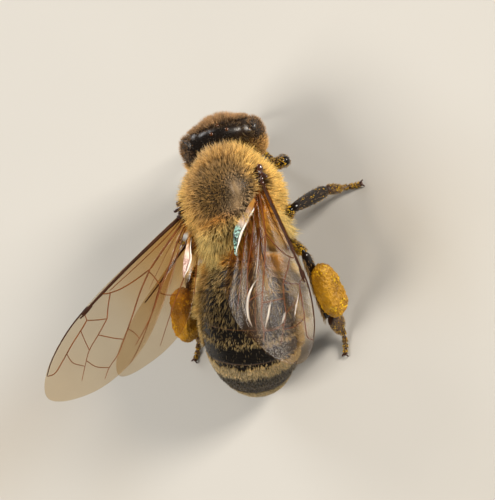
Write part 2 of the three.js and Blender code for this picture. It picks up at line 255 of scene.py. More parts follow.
# ---- Colours and materials ----
def linear(code):
    """An sRGB hex colour as linear red, green, blue and one."""
    parts = [int(code[i:i + 2], 16) / 255 for i in (1, 3, 5)]
    return tuple(c / 12.92 if c <= 0.04045 else ((c + 0.055) / 1.055) ** 2.4 for c in parts) + (1.0,)


def shades(*codes):
    """Hex colours as linear arrays, ready to be blended."""
    return [np.array(linear(code)[:3]) for code in codes]


def node(tree, kind, inputs=None, **settings):
    """Adds a node with its settings, its values and its links."""
    made = tree.nodes.new("ShaderNode" + kind)
    for key, value in settings.items():
        setattr(made, key, value)
    for key, value in (inputs or {}).items():
        if isinstance(value, bpy.types.NodeSocket):
            tree.links.new(value, made.inputs[key])
        else:
            made.inputs[key].default_value = value
    return made


def new_material(name):
    """An empty material and its node tree."""
    material = bpy.data.materials.new(name)
    material.use_nodes = True
    material.node_tree.nodes.clear()
    return material, material.node_tree


def mm(size):
    """The scale at which a pattern on Object coordinates repeats every so many millimetres."""
    return 1000 / size


def chitin(name, base, light, *, mottle=0.5, rough=0.34, relief=0.006, tinted=0.0, shine=0.32):
    """Insect shell: hard brown-black chitin, glossy, pitted every 0.06 mm, browner where it is thin."""
    material, tree = new_material(name)
    place = node(tree, "TexCoord").outputs["Object"]
    cloud = node(tree, "TexNoise", {"Vector": place, "Scale": mm(mottle), "Detail": 4.0, "Roughness": 0.6})
    fine = node(tree, "TexNoise", {"Vector": place, "Scale": mm(0.075), "Detail": 3.0})
    pits = node(tree, "TexVoronoi", {"Vector": place, "Scale": mm(0.06)}, feature="SMOOTH_F1")
    spread = node(tree, "MapRange", {"Value": cloud.outputs["Fac"], "From Min": 0.35, "From Max": 0.75})
    colour = node(tree, "Mix", {0: spread.outputs[0], 6: linear(base), 7: linear(light)},
        data_type="RGBA").outputs[2]
    rough_spread = node(tree, "MapRange",
        {"Value": fine.outputs["Fac"], "From Min": 0.3, "From Max": 0.7, "To Min": rough * 0.75,
        "To Max": rough * 1.3})
    dull = rough_spread.outputs[0]
    if tinted:
        mark = node(tree, "Attribute", attribute_name="tint")
        colour = node(tree, "Mix", {0: tinted, 6: colour, 7: mark.outputs["Color"]},
            data_type="RGBA").outputs[2]
        dull = node(tree, "Math", {0: mark.outputs["Alpha"], 1: dull}, operation="MAXIMUM").outputs[0]
    height = node(tree, "Math", {0: fine.outputs["Fac"], 1: pits.outputs["Distance"]}, operation="ADD")
    bump = node(tree, "Bump", {"Height": height.outputs[0], "Strength": 0.55, "Distance": relief * 0.001})
    shader = node(tree, "BsdfPrincipled",
        {"Base Color": colour, "Roughness": dull, "Normal": bump.outputs[0], "IOR": 1.56,
        "Specular IOR Level": shine})
    node(tree, "OutputMaterial", {"Surface": shader.outputs[0]})
    return material


SKIN = chitin("dark_chitin_skin", "#0c0907", "#1a1410", rough=0.3, relief=0.003, tinted=0.85)
LEG_SHELL = chitin("polished_leg_chitin", "#0b0705", "#1f120a", mottle=0.7, rough=0.2, relief=0.0015)
TARSUS_SHELL = chitin("brown_foot_chitin", "#24150c", "#4a2b15", mottle=0.4, rough=0.36)
FEELER_SHELL = chitin("matt_feeler_chitin", "#17100b", "#2f2015", mottle=0.3, rough=0.5)
MOUTH_SHELL = chitin("red_brown_mouth_chitin", "#2c160b", "#5a2f16", mottle=0.4, rough=0.3)
WING_BASE = chitin("brown_wing_root_chitin", "#120703", "#58280e", mottle=0.16, rough=0.18, relief=0.004,
    shine=0.9)


def tergite_material():
    """Abdominal plate: polished black chitin with a thin, horn-brown hind rim, and fine cross lines."""
    material, tree = new_material("polished_tergite_chitin")
    coords = node(tree, "TexCoord")
    sheet = node(tree, "SeparateXYZ", {0: coords.outputs["UV"]})
    cloud = node(tree, "TexNoise", {"Vector": coords.outputs["Object"], "Scale": mm(0.6), "Detail": 4.0})
    rim = node(tree, "Math", {0: cloud.outputs["Fac"], 1: 0.03, 2: sheet.outputs["Y"]},
        operation="MULTIPLY_ADD")
    edge = node(tree, "MapRange", {"Value": rim.outputs[0], "From Min": 0.985, "From Max": 1.01},
        interpolation_type="SMOOTHSTEP")
    dark = node(tree, "Mix", {0: cloud.outputs["Fac"], 6: linear("#080604"), 7: linear("#16100a")},
        data_type="RGBA")
    colour = node(tree, "Mix", {0: edge.outputs[0], 6: dark.outputs[2], 7: linear("#5a3812")},
        data_type="RGBA")
    lines = node(tree, "Mapping", {"Vector": coords.outputs["UV"], "Scale": (26.0, 60.0, 1.0)})
    scratch = node(tree, "TexNoise", {"Vector": lines.outputs[0], "Scale": 1.0, "Detail": 3.0})
    pits = node(tree, "TexVoronoi", {"Vector": coords.outputs["Object"], "Scale": mm(0.09)},
        feature="SMOOTH_F1")
    height = node(tree, "Math", {0: pits.outputs["Distance"], 1: 0.7, 2: scratch.outputs["Fac"]},
        operation="MULTIPLY_ADD")
    bump = node(tree, "Bump", {"Height": height.outputs[0], "Strength": 0.5, "Distance": 4e-6})
    gloss = node(tree, "MapRange", {"Value": scratch.outputs["Fac"], "From Min": 0.3, "From Max": 0.7,
        "To Min": 0.22, "To Max": 0.36})
    shader = node(tree, "BsdfPrincipled",
        {"Base Color": colour.outputs[2], "Roughness": gloss.outputs[0], "Normal": bump.outputs[0],
        "IOR": 1.56, "Specular IOR Level": 0.25})
    node(tree, "OutputMaterial", {"Surface": shader.outputs[0]})
    return material


def eye_material():
    """Compound eye: black-brown lenses packed in six-sided rows, each 0.05 mm across, under a clear gloss."""
    material, tree = new_material("faceted_eye_lenses")
    coords = node(tree, "TexCoord")
    rows = []
    for turn in (0, 60, 120):
        way = (math.cos(math.radians(turn)) * 2 * math.pi * 60,
            math.sin(math.radians(turn)) * 2 * math.pi * 44, 0)
        phase = node(tree, "VectorMath", {0: coords.outputs["UV"], 1: way}, operation="DOT_PRODUCT")
        rows.append(node(tree, "Math", {0: phase.outputs["Value"]}, operation="COSINE").outputs[0])
    pair = node(tree, "Math", {0: rows[0], 1: rows[1]}, operation="ADD")
    lenses = node(tree, "Math", {0: pair.outputs[0], 1: rows[2]}, operation="ADD")
    cloud = node(tree, "TexNoise", {"Vector": coords.outputs["Object"], "Scale": mm(0.8), "Detail": 3.0})
    tone = node(tree, "MapRange", {"Value": lenses.outputs[0], "From Min": -1.5, "From Max": 3.0})
    mixed = node(tree, "Math", {0: tone.outputs[0], 1: cloud.outputs["Fac"]}, operation="MULTIPLY")
    colour = node(tree, "Mix", {0: mixed.outputs[0], 6: linear("#070504"), 7: linear("#2e1d14")},
        data_type="RGBA")
    bump = node(tree, "Bump", {"Height": lenses.outputs[0], "Strength": 0.35, "Distance": 3e-6})
    shader = node(tree, "BsdfPrincipled",
        {"Base Color": colour.outputs[2], "Roughness": 0.34, "Normal": bump.outputs[0], "IOR": 1.5,
        "Coat Weight": 0.25, "Coat Roughness": 0.2})
    node(tree, "OutputMaterial", {"Surface": shader.outputs[0]})
    return material


def glassy_dome():
    """Simple eye: a clear amber lens over a dark ground."""
    material, tree = new_material("amber_ocellus_lens")
    place = node(tree, "TexCoord").outputs["Object"]
    cloud = node(tree, "TexNoise", {"Vector": place, "Scale": mm(0.15), "Detail": 2.0})
    colour = node(tree, "Mix", {0: cloud.outputs["Fac"], 6: linear("#241005"), 7: linear("#6a3a12")},
        data_type="RGBA")
    shader = node(tree, "BsdfPrincipled",
        {"Base Color": colour.outputs[2], "Roughness": 0.08, "IOR": 1.5, "Coat Weight": 0.6,
        "Coat Roughness": 0.05})
    node(tree, "OutputMaterial", {"Surface": shader.outputs[0]})
    return material


def hair_material(name, rough, sheen):
    """Body hair: dull, fine branched chitin hairs, lighter and clearer to the tips; their dark roots are
    partly painted shade.
    """
    material, tree = new_material(name)
    mark = node(tree, "Attribute", attribute_name="tint").outputs["Color"]
    place = node(tree, "TexCoord").outputs["Object"]
    cloud = node(tree, "TexNoise", {"Vector": place, "Scale": mm(0.35), "Detail": 3.0})
    value = node(tree, "MapRange", {"Value": cloud.outputs["Fac"], "From Min": 0.3, "From Max": 0.7,
        "To Min": 0.82, "To Max": 1.18})
    colour = node(tree, "HueSaturation", {"Color": mark, "Value": value.outputs[0]})
    shader = node(tree, "BsdfPrincipled",
        {"Base Color": colour.outputs[0], "Roughness": rough, "IOR": 1.55, "Specular IOR Level": 0.25,
        "Sheen Weight": sheen, "Sheen Roughness": 0.4})
    node(tree, "OutputMaterial", {"Surface": shader.outputs[0]})
    return material


def membrane_material(name, opacity, horn, clear, ripple):
    """Wing membrane: clear thin horn, amber near its root, with long shallow creases and a glassy sheen.

    Only the share of it that isn't see-through carries the sheen, so its IOR is set above horn's own 1.56."""
    material, tree = new_material(name)
    coords = node(tree, "TexCoord")
    sheet = node(tree, "SeparateXYZ", {0: coords.outputs["UV"]})
    cloud = node(tree, "TexNoise", {"Vector": coords.outputs["Object"], "Scale": mm(1.6), "Detail": 3.0})
    long_way = node(tree, "Mapping", {"Vector": coords.outputs["UV"], "Scale": (2.0, 5.0, 1.0)})
    creases = node(tree, "TexNoise", {"Vector": long_way.outputs[0], "Scale": 1.0, "Detail": 1.0,
        "Distortion": 0.6})
    bristles = node(tree, "TexVoronoi", {"Vector": coords.outputs["Object"], "Scale": mm(0.1)})
    dots = node(tree, "MapRange", {"Value": bristles.outputs["Distance"], "From Min": 0.0,
        "From Max": 0.35, "To Min": 1.0, "To Max": 0.0})
    height = node(tree, "Math", {0: dots.outputs[0], 1: 0.008, 2: creases.outputs["Fac"]},
        operation="MULTIPLY_ADD")
    bump = node(tree, "Bump", {"Height": height.outputs[0], "Strength": ripple, "Distance": 2.5e-4})
    root = node(tree, "MapRange", {"Value": sheet.outputs["X"], "From Min": 0.02, "From Max": 0.4,
        "To Min": 1.0, "To Max": 0.0}, interpolation_type="SMOOTHSTEP")
    colour = node(tree, "Mix", {0: cloud.outputs["Fac"], 6: linear(horn[0]), 7: linear(horn[1])},
        data_type="RGBA")
    film = node(tree, "Mix", {0: root.outputs[0], 6: linear(clear[0]), 7: linear(clear[1])},
        data_type="RGBA")
    solid = node(tree, "BsdfPrincipled",
        {"Base Color": colour.outputs[2], "Roughness": 0.16, "Normal": bump.outputs[0], "IOR": 1.9,
        "Specular IOR Level": 0.7})
    see_through = node(tree, "BsdfTransparent", {"Color": film.outputs[2]})
    shade = node(tree, "MapRange", {"Value": cloud.outputs["Fac"], "From Min": 0.3, "From Max": 0.7,
        "To Min": opacity * 0.8, "To Max": opacity * 1.2})
    mixed = node(tree, "MixShader", {0: shade.outputs[0], 1: see_through.outputs[0], 2: solid.outputs[0]})
    node(tree, "OutputMaterial", {"Surface": mixed.outputs[0]})
    return material


def fold_material(name, bright_sheen, deep):
    """Folded lobe of a wing: doubled membrane whose mother-of-pearl shine is painted in specks 0.06 mm
    across, with a painted highlight along its hem.
    """
    material, tree = new_material(name)
    coords = node(tree, "TexCoord")
    sheet = node(tree, "SeparateXYZ", {0: coords.outputs["UV"]})
    scales = node(tree, "TexVoronoi", {"Vector": coords.outputs["Object"], "Scale": mm(0.06)})
    pick = node(tree, "SeparateColor", {0: scales.outputs["Color"]})
    sparkle = node(tree, "MapRange", {"Value": pick.outputs[0], "From Min": 0.3, "From Max": 0.8})
    sheen_speckle = node(tree, "Mix", {0: sparkle.outputs[0], 6: linear(deep), 7: linear(bright_sheen)}, data_type="RGBA")
    outer = node(tree, "MapRange", {"Value": sheet.outputs["X"], "From Min": 0.36, "From Max": 0.52},
        interpolation_type="SMOOTHSTEP")
    pearl_sheen = node(tree, "MapRange", {"Value": sheet.outputs["X"], "From Min": 0.1, "From Max": 0.34},
        interpolation_type="SMOOTHSTEP")
    hem_highlight = node(tree, "MapRange", {"Value": sheet.outputs["Y"], "From Min": 0.74, "From Max": 0.8},
        interpolation_type="SMOOTHSTEP")
    horn = node(tree, "Mix", {0: pearl_sheen.outputs[0], 6: linear("#b8823a"), 7: linear("#f4dccc")},
        data_type="RGBA")
    painted_shine = node(tree, "Mix", {0: outer.outputs[0], 6: horn.outputs[2], 7: sheen_speckle.outputs[2]},
        data_type="RGBA")
    colour = node(tree, "Mix", {0: hem_highlight.outputs[0], 6: painted_shine.outputs[2], 7: linear("#fbf4ea")},
        data_type="RGBA")
    bump = node(tree, "Bump", {"Height": pick.outputs[1], "Strength": 0.3, "Distance": 1e-5})
    solid = node(tree, "BsdfPrincipled",
        {"Base Color": colour.outputs[2], "Roughness": 0.3, "Normal": bump.outputs[0], "IOR": 1.56})
    see_through = node(tree, "BsdfTransparent", {"Color": linear("#f6ead4")})
    mixed = node(tree, "MixShader", {0: 0.78, 1: see_through.outputs[0], 2: solid.outputs[0]})
    node(tree, "OutputMaterial", {"Surface": mixed.outputs[0]})
    return material


def vein_material(name, dark, light):
    """Wing vein: a hollow rib of red-brown chitin, darker where it is thick."""
    material, tree = new_material(name)
    place = node(tree, "TexCoord").outputs["Object"]
    cloud = node(tree, "TexNoise", {"Vector": place, "Scale": mm(0.5), "Detail": 3.0})
    colour = node(tree, "Mix", {0: cloud.outputs["Fac"], 6: linear(dark), 7: linear(light)},
        data_type="RGBA")
    bump = node(tree, "Bump", {"Height": cloud.outputs["Fac"], "Strength": 0.4, "Distance": 1e-5})
    shader = node(tree, "BsdfPrincipled",
        {"Base Color": colour.outputs[2], "Roughness": 0.5, "Normal": bump.outputs[0], "IOR": 1.56,
        "Specular IOR Level": 0.15})
    node(tree, "OutputMaterial", {"Surface": shader.outputs[0]})
    return material


def pollen_material(name, dull, bright, speck, relief):
    """Packed pollen: waxy grains 0.05 mm across stuck together with nectar, ochre with yellow specks."""
    material, tree = new_material(name)
    place = node(tree, "TexCoord").outputs["Object"]
    cloud = node(tree, "TexNoise", {"Vector": place, "Scale": mm(0.7), "Detail": 5.0, "Roughness": 0.65})
    grains = node(tree, "TexVoronoi", {"Vector": place, "Scale": mm(0.07)})
    spread = node(tree, "MapRange", {"Value": cloud.outputs["Fac"], "From Min": 0.35, "From Max": 0.65})
    packed = node(tree, "Mix", {0: spread.outputs[0], 6: linear(dull), 7: linear(bright)}, data_type="RGBA")
    picked = node(tree, "SeparateColor", {0: grains.outputs["Color"]})
    chance = node(tree, "MapRange", {"Value": picked.outputs[0], "From Min": 0.8, "From Max": 0.9})
    loose = node(tree, "TexNoise", {"Vector": place, "Scale": mm(1.1), "Detail": 2.0})
    where = node(tree, "MapRange", {"Value": loose.outputs["Fac"], "From Min": 0.45, "From Max": 0.6})
    amount = node(tree, "Math", {0: chance.outputs[0], 1: where.outputs[0]}, operation="MULTIPLY")
    colour = node(tree, "Mix", {0: amount.outputs[0], 6: packed.outputs[2], 7: linear(speck)},
        data_type="RGBA")
    round_grain = node(tree, "Math", {0: 1.0, 1: grains.outputs["Distance"]}, operation="SUBTRACT")
    bump = node(tree, "Bump", {"Height": round_grain.outputs[0], "Strength": 0.6,
        "Distance": relief * 0.001})
    shader = node(tree, "BsdfPrincipled",
        {"Base Color": colour.outputs[2], "Roughness": 0.5, "Normal": bump.outputs[0], "IOR": 1.48})
    node(tree, "OutputMaterial", {"Surface": shader.outputs[0]})
    return material


TERGITE = tergite_material()
EYE = eye_material()
OCELLUS = glassy_dome()
HAIR = hair_material("branched_body_hair", 0.6, 0.1)
FELT = hair_material("short_felt_hair", 0.7, 0.2)
MEMBRANE = membrane_material("amber_wing_membrane", 0.08, ("#4a2a0c", "#704818"), ("#f9f2e4", "#ecd09c"),
    0.2)
# Crease ridges: pale, half-solid membrane, a painted highlight.
CREASE_HIGHLIGHT = membrane_material("painted_highlight_wing_crease", 0.55, ("#a89880", "#f0e6d8"), ("#fbf6ee", "#fbf6ee"), 0.1)
# Fold colours: an iridescent sheen painted in, teal on the right wing and rose on the left.
FOLDS = {
    "right": fold_material("teal_painted_sheen_wing_fold", "#9ccfc0", "#16241f"),
    "left": fold_material("rose_painted_sheen_wing_fold", "#f4d4cc", "#b89488"),
}
VEIN = vein_material("red_brown_wing_vein", "#40200a", "#8a4c16")
COSTA = vein_material("black_brown_front_vein", "#160a04", "#4a240a")
POLLEN = pollen_material("packed_pollen", "#80580a", "#c6921a", "#f4c808", 0.05)
GRAIN = pollen_material("loose_pollen_grains", "#b98a08", "#e4b818", "#f2d030", 0.004)

# Coat colours: root and tip of each kind of hair. The dark roots are partly painted shade, deep in the coat.
HAIRS = {
    "disc": shades("#2c1d0a", "#b28c54"),
    "tan": shades("#4a2f10", "#e6b66c"),
    "gold": shades("#8a5a16", "#ffd874"),
    # Cream: pale gold hair, painted lighter where the body shades it, as if lit.
    "lit_cream": shades("#c8942e", "#fff0a8"),
    "orange": shades("#6a3c0c", "#d08a30"),
    # Worn patches: pale colours that paint the sheen of the bare, worn back.
    "worn_and_sheen": shades("#a88e6a", "#dcc098"),
    "crown": shades("#3c2a1a", "#c09668"),
    "face": shades("#3a2e20", "#c4ac84"),
    "dark": shades("#0c0806", "#30261a"),
    "olive": shades("#2c200c", "#ecca84"),
    "felt": shades("#86662e", "#ffe4a4"),
    "leg": shades("#4c3418", "#caa260"),
}


def board_material():
    """Floor: matt painted board, a warm pale grey with a faint cloudiness."""
    material, tree = new_material("matt_pale_board")
    place = node(tree, "TexCoord").outputs["Object"]
    cloud = node(tree, "TexNoise", {"Vector": place, "Scale": mm(12), "Detail": 3.0})
    colour = node(tree, "Mix", {0: cloud.outputs["Fac"], 6: linear("#bebcb7"), 7: linear("#c4c2bd")},
        data_type="RGBA")
    shader = node(tree, "BsdfPrincipled",
        {"Base Color": colour.outputs[2], "Roughness": 0.85, "Specular IOR Level": 0.1})
    node(tree, "OutputMaterial", {"Surface": shader.outputs[0]})
    return material


def blend_kinds(weights):
    """Root and tip colours from shares of each kind of hair."""
    total = sum(weights.values())
    return [sum(HAIRS[kind][end] * (share / total)[:, None] for kind, share in weights.items())
        for end in (0, 1)]


# ---- The abdomen's own lie ----
def abdomen_frame(t):
    """Middle line, and the directions along, across and up, at shares t of the abdomen."""
    t = np.atleast_1d(np.asarray(t, float))
    steps = 24
    centre = np.tile(ABDOMEN_START, (len(t), 1))

    def way(share):
        yaw = np.radians(ABDOMEN_YAW[0] + (ABDOMEN_YAW[1] - ABDOMEN_YAW[0]) * share)
        droop = np.radians(ABDOMEN_DROOP[0] + (ABDOMEN_DROOP[1] - ABDOMEN_DROOP[0]) * share**ABDOMEN_CURL)
        return np.stack([np.sin(yaw) * np.cos(droop), np.cos(yaw) * np.cos(droop), -np.sin(droop)], 1)

    for i in range(steps):
        centre += way(t * (i + 0.5) / steps) * (ABDOMEN_LENGTH * t / steps)[:, None]
    along = way(t)
    across = unit(np.stack([along[:, 1], -along[:, 0], np.zeros(len(t))], 1))
    return centre, along, across, np.cross(across, along)


def abdomen_half(t):
    """Half the abdomen's width out to the tips of its coat."""
    ahead = np.clip((ABDOMEN_WIDEST - t) / ABDOMEN_WIDEST, 0, 1)
    behind = np.clip((t - ABDOMEN_WIDEST) / (1 - ABDOMEN_WIDEST), 0, 1)
    front = ABDOMEN_HALF_WIDTH * (1 - ahead**2.9) ** 0.3
    rear = ABDOMEN_HALF_WIDTH * (1 - (0.995 * behind) ** 2.45) ** 0.455
    return np.where(t < ABDOMEN_WIDEST, front, rear)


def coat_depth(t):
    """How far the plates lie inside the tips of the coat."""
    return np.interp(t, [0, 0.12, 0.21, 0.41, 0.61, 0.9, 1], [0.42, 0.4, 0.3, 0.17, 0.11, 0.09, 0.06])


PLATE_EDGE = math.radians(112)
PLATE_LAP = 0.035


def plate_span(ring):
    """First and last share of the abdomen that a ring's plate covers, its hidden lap included."""
    return max(RING_ENDS[ring] - (PLATE_LAP if ring else 0), 0.012), RING_ENDS[ring + 1]


def tergite_point(ring, angle, v):
    """A point on a back plate: angle from the top, v from its front edge to its hind rim."""
    first, last = plate_span(ring)
    t = first + (last - first) * v
    centre, _, across, up = abdomen_frame(t)
    half = abdomen_half(t) - np.minimum(coat_depth(t), abdomen_half(t) * 0.45)
    lap = PLATE_LAP / (last - first) if ring else 0.02
    half = half - 0.075 * (1 - ease(v, 0.3 * lap, 1.5 * lap + 0.12)) + 0.02 * ease(v, 0.82, 1)
    half = half * (1 - 0.02 * ease(np.abs(angle), 1.2, PLATE_EDGE))
    beside = across * (np.sin(angle) * half)[:, None]
    above = up * (np.cos(angle) * half * ABDOMEN_FLATNESS)[:, None]
    return centre + beside + above


def sternite_point(ring, angle, v):
    """A point on a belly plate, which lies inside the edges of the back plate."""
    first, last = plate_span(ring)
    t = first + (last - first) * v
    centre, _, across, up = abdomen_frame(t)
    half = (abdomen_half(t) - np.minimum(coat_depth(t) * 0.8, abdomen_half(t) * 0.45)) * 0.965
    half = half - 0.06 * (1 - ease(v, 0, 0.3))
    flat = ABDOMEN_FLATNESS * np.where(np.cos(angle) < 0, 0.94, 1)
    return centre + across * (np.sin(angle) * half)[:, None] + up * (np.cos(angle) * half * flat)[:, None]


# ---- Skin: head, thorax, waist and hips in one ----
def chin_narrow(p):
    """Narrows the head towards the jaws and draws the crown back a little."""
    chin, crown = np.clip(-p[:, 2], 0, None), np.clip(p[:, 2], 0, None)
    return np.stack([p[:, 0] * (1 - 0.34 * chin**1.6), p[:, 1] + 0.12 * chin**2 - 0.1 * crown, p[:, 2]], 1)


# Rounded masses: middle, half sizes, turn in degrees, and a shape where one is needed.
# The head's own are given from its middle, before it nods.
HEAD_MASSES = [
    # capsule, crown, back of the head, cheeks behind the eyes
    ((0, 0.08, 0.02), (1.4, 0.66, 1.46), (0, 0, 0), chin_narrow),
    ((0, 0.0, 0.86), (1.2, 0.56, 0.58), (-6, 0, 0), None),
    ((0, 0.36, 0.5), (1.15, 0.3, 0.76), (0, 0, 0), None),
    ((1.0, 0.16, 0.02), (0.46, 0.48, 1.14), (0, 8, 0), None),
    ((-1.0, 0.16, 0.02), (0.46, 0.48, 1.14), (0, -8, 0), None),
    ((0.86, -0.04, 0.76), (0.52, 0.58, 0.5), (0, 0, 0), None),
    ((-0.86, -0.04, 0.76), (0.52, 0.58, 0.5), (0, 0, 0), None),
    # brow, face shield, upper lip
    ((0, -0.42, 0.25), (0.5, 0.28, 0.62), (8, 0, 0), None),
    ((0, -0.38, -0.9), (0.62, 0.36, 0.6), (-14, 0, 0), None),
    ((0, -0.34, -1.36), (0.44, 0.2, 0.16), (-20, 0, 0), None),
]
MASSES = [
    # neck and collar
    ((-0.14, -2.05, 3.45), (0.42, 0.5, 0.45), (0, 0, 0), None),
    ((0, -1.5, 3.95), (1.3, 0.42, 1.05), (12, 0, 0), None),
    # thorax: trunk, mid back, small back plate, rear slope, wing ridges
    ((0, -0.1, 3.62), (1.82, 1.62, 1.48), (0, 0, 0), None),
    ((0, -0.36, 4.26), (1.66, 1.34, 1.34), (-4, 0, 0), None),
    ((0, 0.98, 4.93), (1.02, 0.5, 0.42), (-14, 0, 0), None),
    ((0, 1.08, 3.98), (1.36, 0.72, 1.12), (0, 0, 0), None),
    ((1.38, -0.2, 4.5), (0.36, 0.7, 0.3), (0, 24, 6), None),
    ((-1.38, -0.2, 4.5), (0.36, 0.7, 0.3), (0, -24, -6), None),
    # waist
    ((0.08, 1.9, 3.3), (0.34, 0.55, 0.34), (0, 0, 0), None),
    ((0.24, 2.36, 3.3), (0.5, 0.4, 0.5), (0, 0, -28), None),
]
for name, (hip, knee, *_) in LEGS.items():
    hip, knee = np.array(hip), np.array(knee)
    inward = np.array([-0.42 * np.sign(hip[0]), 0, 0.42])
    MASSES.append((hip + inward * 0.45, (0.4, 0.36, 0.46), (0, 22 * np.sign(hip[0]), 0), None))
    MASSES.append((hip + (knee - hip) * 0.06, (0.24, 0.22, 0.24), (0, 0, 0), None))

balls = [ball(centre, half, turn, shape=shape) for centre, half, turn, shape in MASSES]
for place, half, turn, shape in HEAD_MASSES:
    balls.append(move_points(ball(HEAD + place, half, turn, shape=shape), nod))
knots = np.linspace(0.04, 0.96, 9)
girth = 2 * (abdomen_half(knots) * 0.86 - 0.12)
balls.append(bar(abdomen_frame(np.linspace(0.02, 0.97, 9))[0], girth, girth * 0.9, (0, 0, 1), 40, 40,
    caps=(0.06, 0.06)))
skin = joined(balls)
finished(skin, "REMESH", mode="VOXEL", voxel_size=0.05)
finished(skin, "SMOOTH", factor=0.5, iterations=7)


def carve(p):
    """Seams and furrows of the back: one down its middle, and a pair of side lines."""
    x, y, z = p.T
    on_back = ease(z, 5.0, 5.3)
    middle = np.exp(-((x / 0.05) ** 2)) * ease(y, -1.5, -0.9) * (1 - ease(y, 0.2, 0.5))
    sides = np.exp(-(((np.abs(x) - 0.75) / 0.05) ** 2)) * ease(y, -0.8, -0.4) * (1 - ease(y, 0.3, 0.6))
    lowered = p.copy()
    lowered[:, 2] -= on_back * 0.035 * (middle + 0.8 * sides)
    return lowered


move_points(skin, carve)


# ---- Eyes ----
def lean(side):
    """The shape of an eye that leans in towards the jaws."""
    def shape(p):
        p = p.copy()
        p[:, 0] += side * EYE_TILT * p[:, 2] * (EYE_HALF[2] / EYE_HALF[0])
        return p
    return shape


EYES = {word: HEAD + EYE_MIDDLE * (side, 1, 1) for word, side in SIDES.items()}
eyeballs = {}
for word, side in SIDES.items():
    eyeball = ball(EYES[word], EYE_HALF * 0.985, around=72, rings=56, shape=lean(side))
    eyeballs[word] = move_points(eyeball, nod)

ocelli = []
for place in ((0, -0.28, 1.34), (0.32, 0.04, 1.41), (-0.32, 0.04, 1.41)):
    ocelli.append(ball(HEAD + place, (0.085, 0.085, 0.06), around=20, rings=14))
settle(move_points(joined(ocelli), nod), "ocelli", OCELLUS, "eye")

# ---- Jaws and tongue, given from the head's middle ----
jaws = []
for side in SIDES.values():
    path = HEAD + np.array([(side * 0.52, -0.3, -1.18), (side * 0.5, -0.52, -1.5),
        (side * 0.3, -0.58, -1.8), (side * 0.03, -0.48, -2.03)])
    jaws.append(bar(path, (0.34, 0.24, 0.26, 0.34, 0.3), (0.3, 0.22, 0.18, 0.14), (side * 0.3, -1, -0.4),
        caps=(0.1, 0.16)))
settle(move_points(joined(jaws), nod), "jaw_blades", MOUTH_SHELL, "shell", "mandibles")

tongue = []
for side in SIDES.values():
    path = HEAD + np.array([(side * 0.2, -0.08, -1.46), (side * 0.22, -0.08, -1.93),
        (side * 0.18, 0.26, -2.16), (side * 0.1, 0.7, -2.1)])
    tongue.append(bar(path, (0.34, 0.36, 0.3, 0.14), (0.2, 0.16, 0.14, 0.1), (side, -0.6, 0.2)))
    palp = HEAD + np.array([(side * 0.36, -0.2, -1.44), (side * 0.36, -0.24, -1.84),
        (side * 0.28, -0.12, -2.08)])
    tongue.append(bar(palp, (0.12, 0.1, 0.07), (0.12, 0.1, 0.07), (0, -1, 0), 10, 14))
path = HEAD + np.array([(0, -0.14, -1.48), (0, -0.16, -1.98), (0, 0.2, -2.24), (0, 0.74, -2.14)])
tongue.append(bar(path, (0.22, 0.2, 0.16, 0.12), (0.2, 0.18, 0.14, 0.1), (0, -1, 0.2)))
settle(move_points(joined(tongue), nod), "folded_tongue", MOUTH_SHELL, "shell", "proboscis")

# ---- Feelers: a long first joint, an elbow, and a lash of eleven short joints ----
LASH_JOINTS = 11
FEELERS = {
    "left": ((0.16, -3.34, 2.98), (0.82, -3.7, 2.3), (0.66, -4.28, 0.42)),
    "right": ((-0.5, -3.34, 2.8), (-1.25, -3.66, 2.5), (-0.66, -4.15, 0.5)),
}


def lash_line(elbow, tip):
    """The lash's middle line, which bows forwards."""
    elbow, tip = np.array(elbow), np.array(tip)
    sag = (elbow + tip) / 2 + (0, -0.22, 0)
    t = np.linspace(0, 1, 9)[:, None]
    return (1 - t) ** 2 * elbow + 2 * t * (1 - t) * sag + t**2 * tip


for word, (root, elbow, tip) in FEELERS.items():
    root, elbow = np.array(root), np.array(elbow)
    bow = (root + elbow) / 2 + (0, -0.05, 0.06)
    scape = bar([root, bow, elbow], (0.2, 0.2, 0.24, 0.22), (0.2, 0.2, 0.24, 0.22), (0, -1, 0), 16, 24)
    socket = ball(root + (0, 0.02, 0), (0.2, 0.12, 0.2), around=20, rings=12)
    settle(joined([scape, socket]), f"feeler_scape_{word}", FEELER_SHELL, "feeler", f"antenna_{word}_scape")
    line = lash_line(elbow, tip)
    joints = []
    for i in range(LASH_JOINTS):
        last = i == LASH_JOINTS - 1
        ends = np.array([max(i - 0.12, 0), min(i + 1.06, LASH_JOINTS)]) / LASH_JOINTS
        part = through(line, np.linspace(*ends, 3))
        size = 0.17 if i == 0 else 0.2 + 0.03 * min(i, 4) / 4 - 0.03 * last
        girth = (size * 0.9, size, size * 1.03)
        joints.append(bar(part, girth, girth, (0, -1, 0), 16, 16, caps=(0.16, 0.5 if last else 0.1)))
    settle(joined(joints), f"feeler_lash_{word}", FEELER_SHELL, "feeler", f"antenna_{word}_flagellum")

# ---- Abdomen plates ----
for ring in range(6):
    back = plate(88, 20, lambda u, v: tergite_point(ring, (u * 2 - 1) * PLATE_EDGE, v), SHELL_WALL)
    settle(close_up(back), f"back_plate_{ring + 1}", TERGITE, "tergite", f"abdomen_{ring + 1}")
    reach = math.pi - PLATE_EDGE + 0.18
    belly = plate(60, 14, lambda u, v: sternite_point(ring, math.pi + (u * 2 - 1) * reach, v), SHELL_WALL)
    settle(close_up(belly), f"belly_plate_{ring + 1}", TERGITE, "tergite")


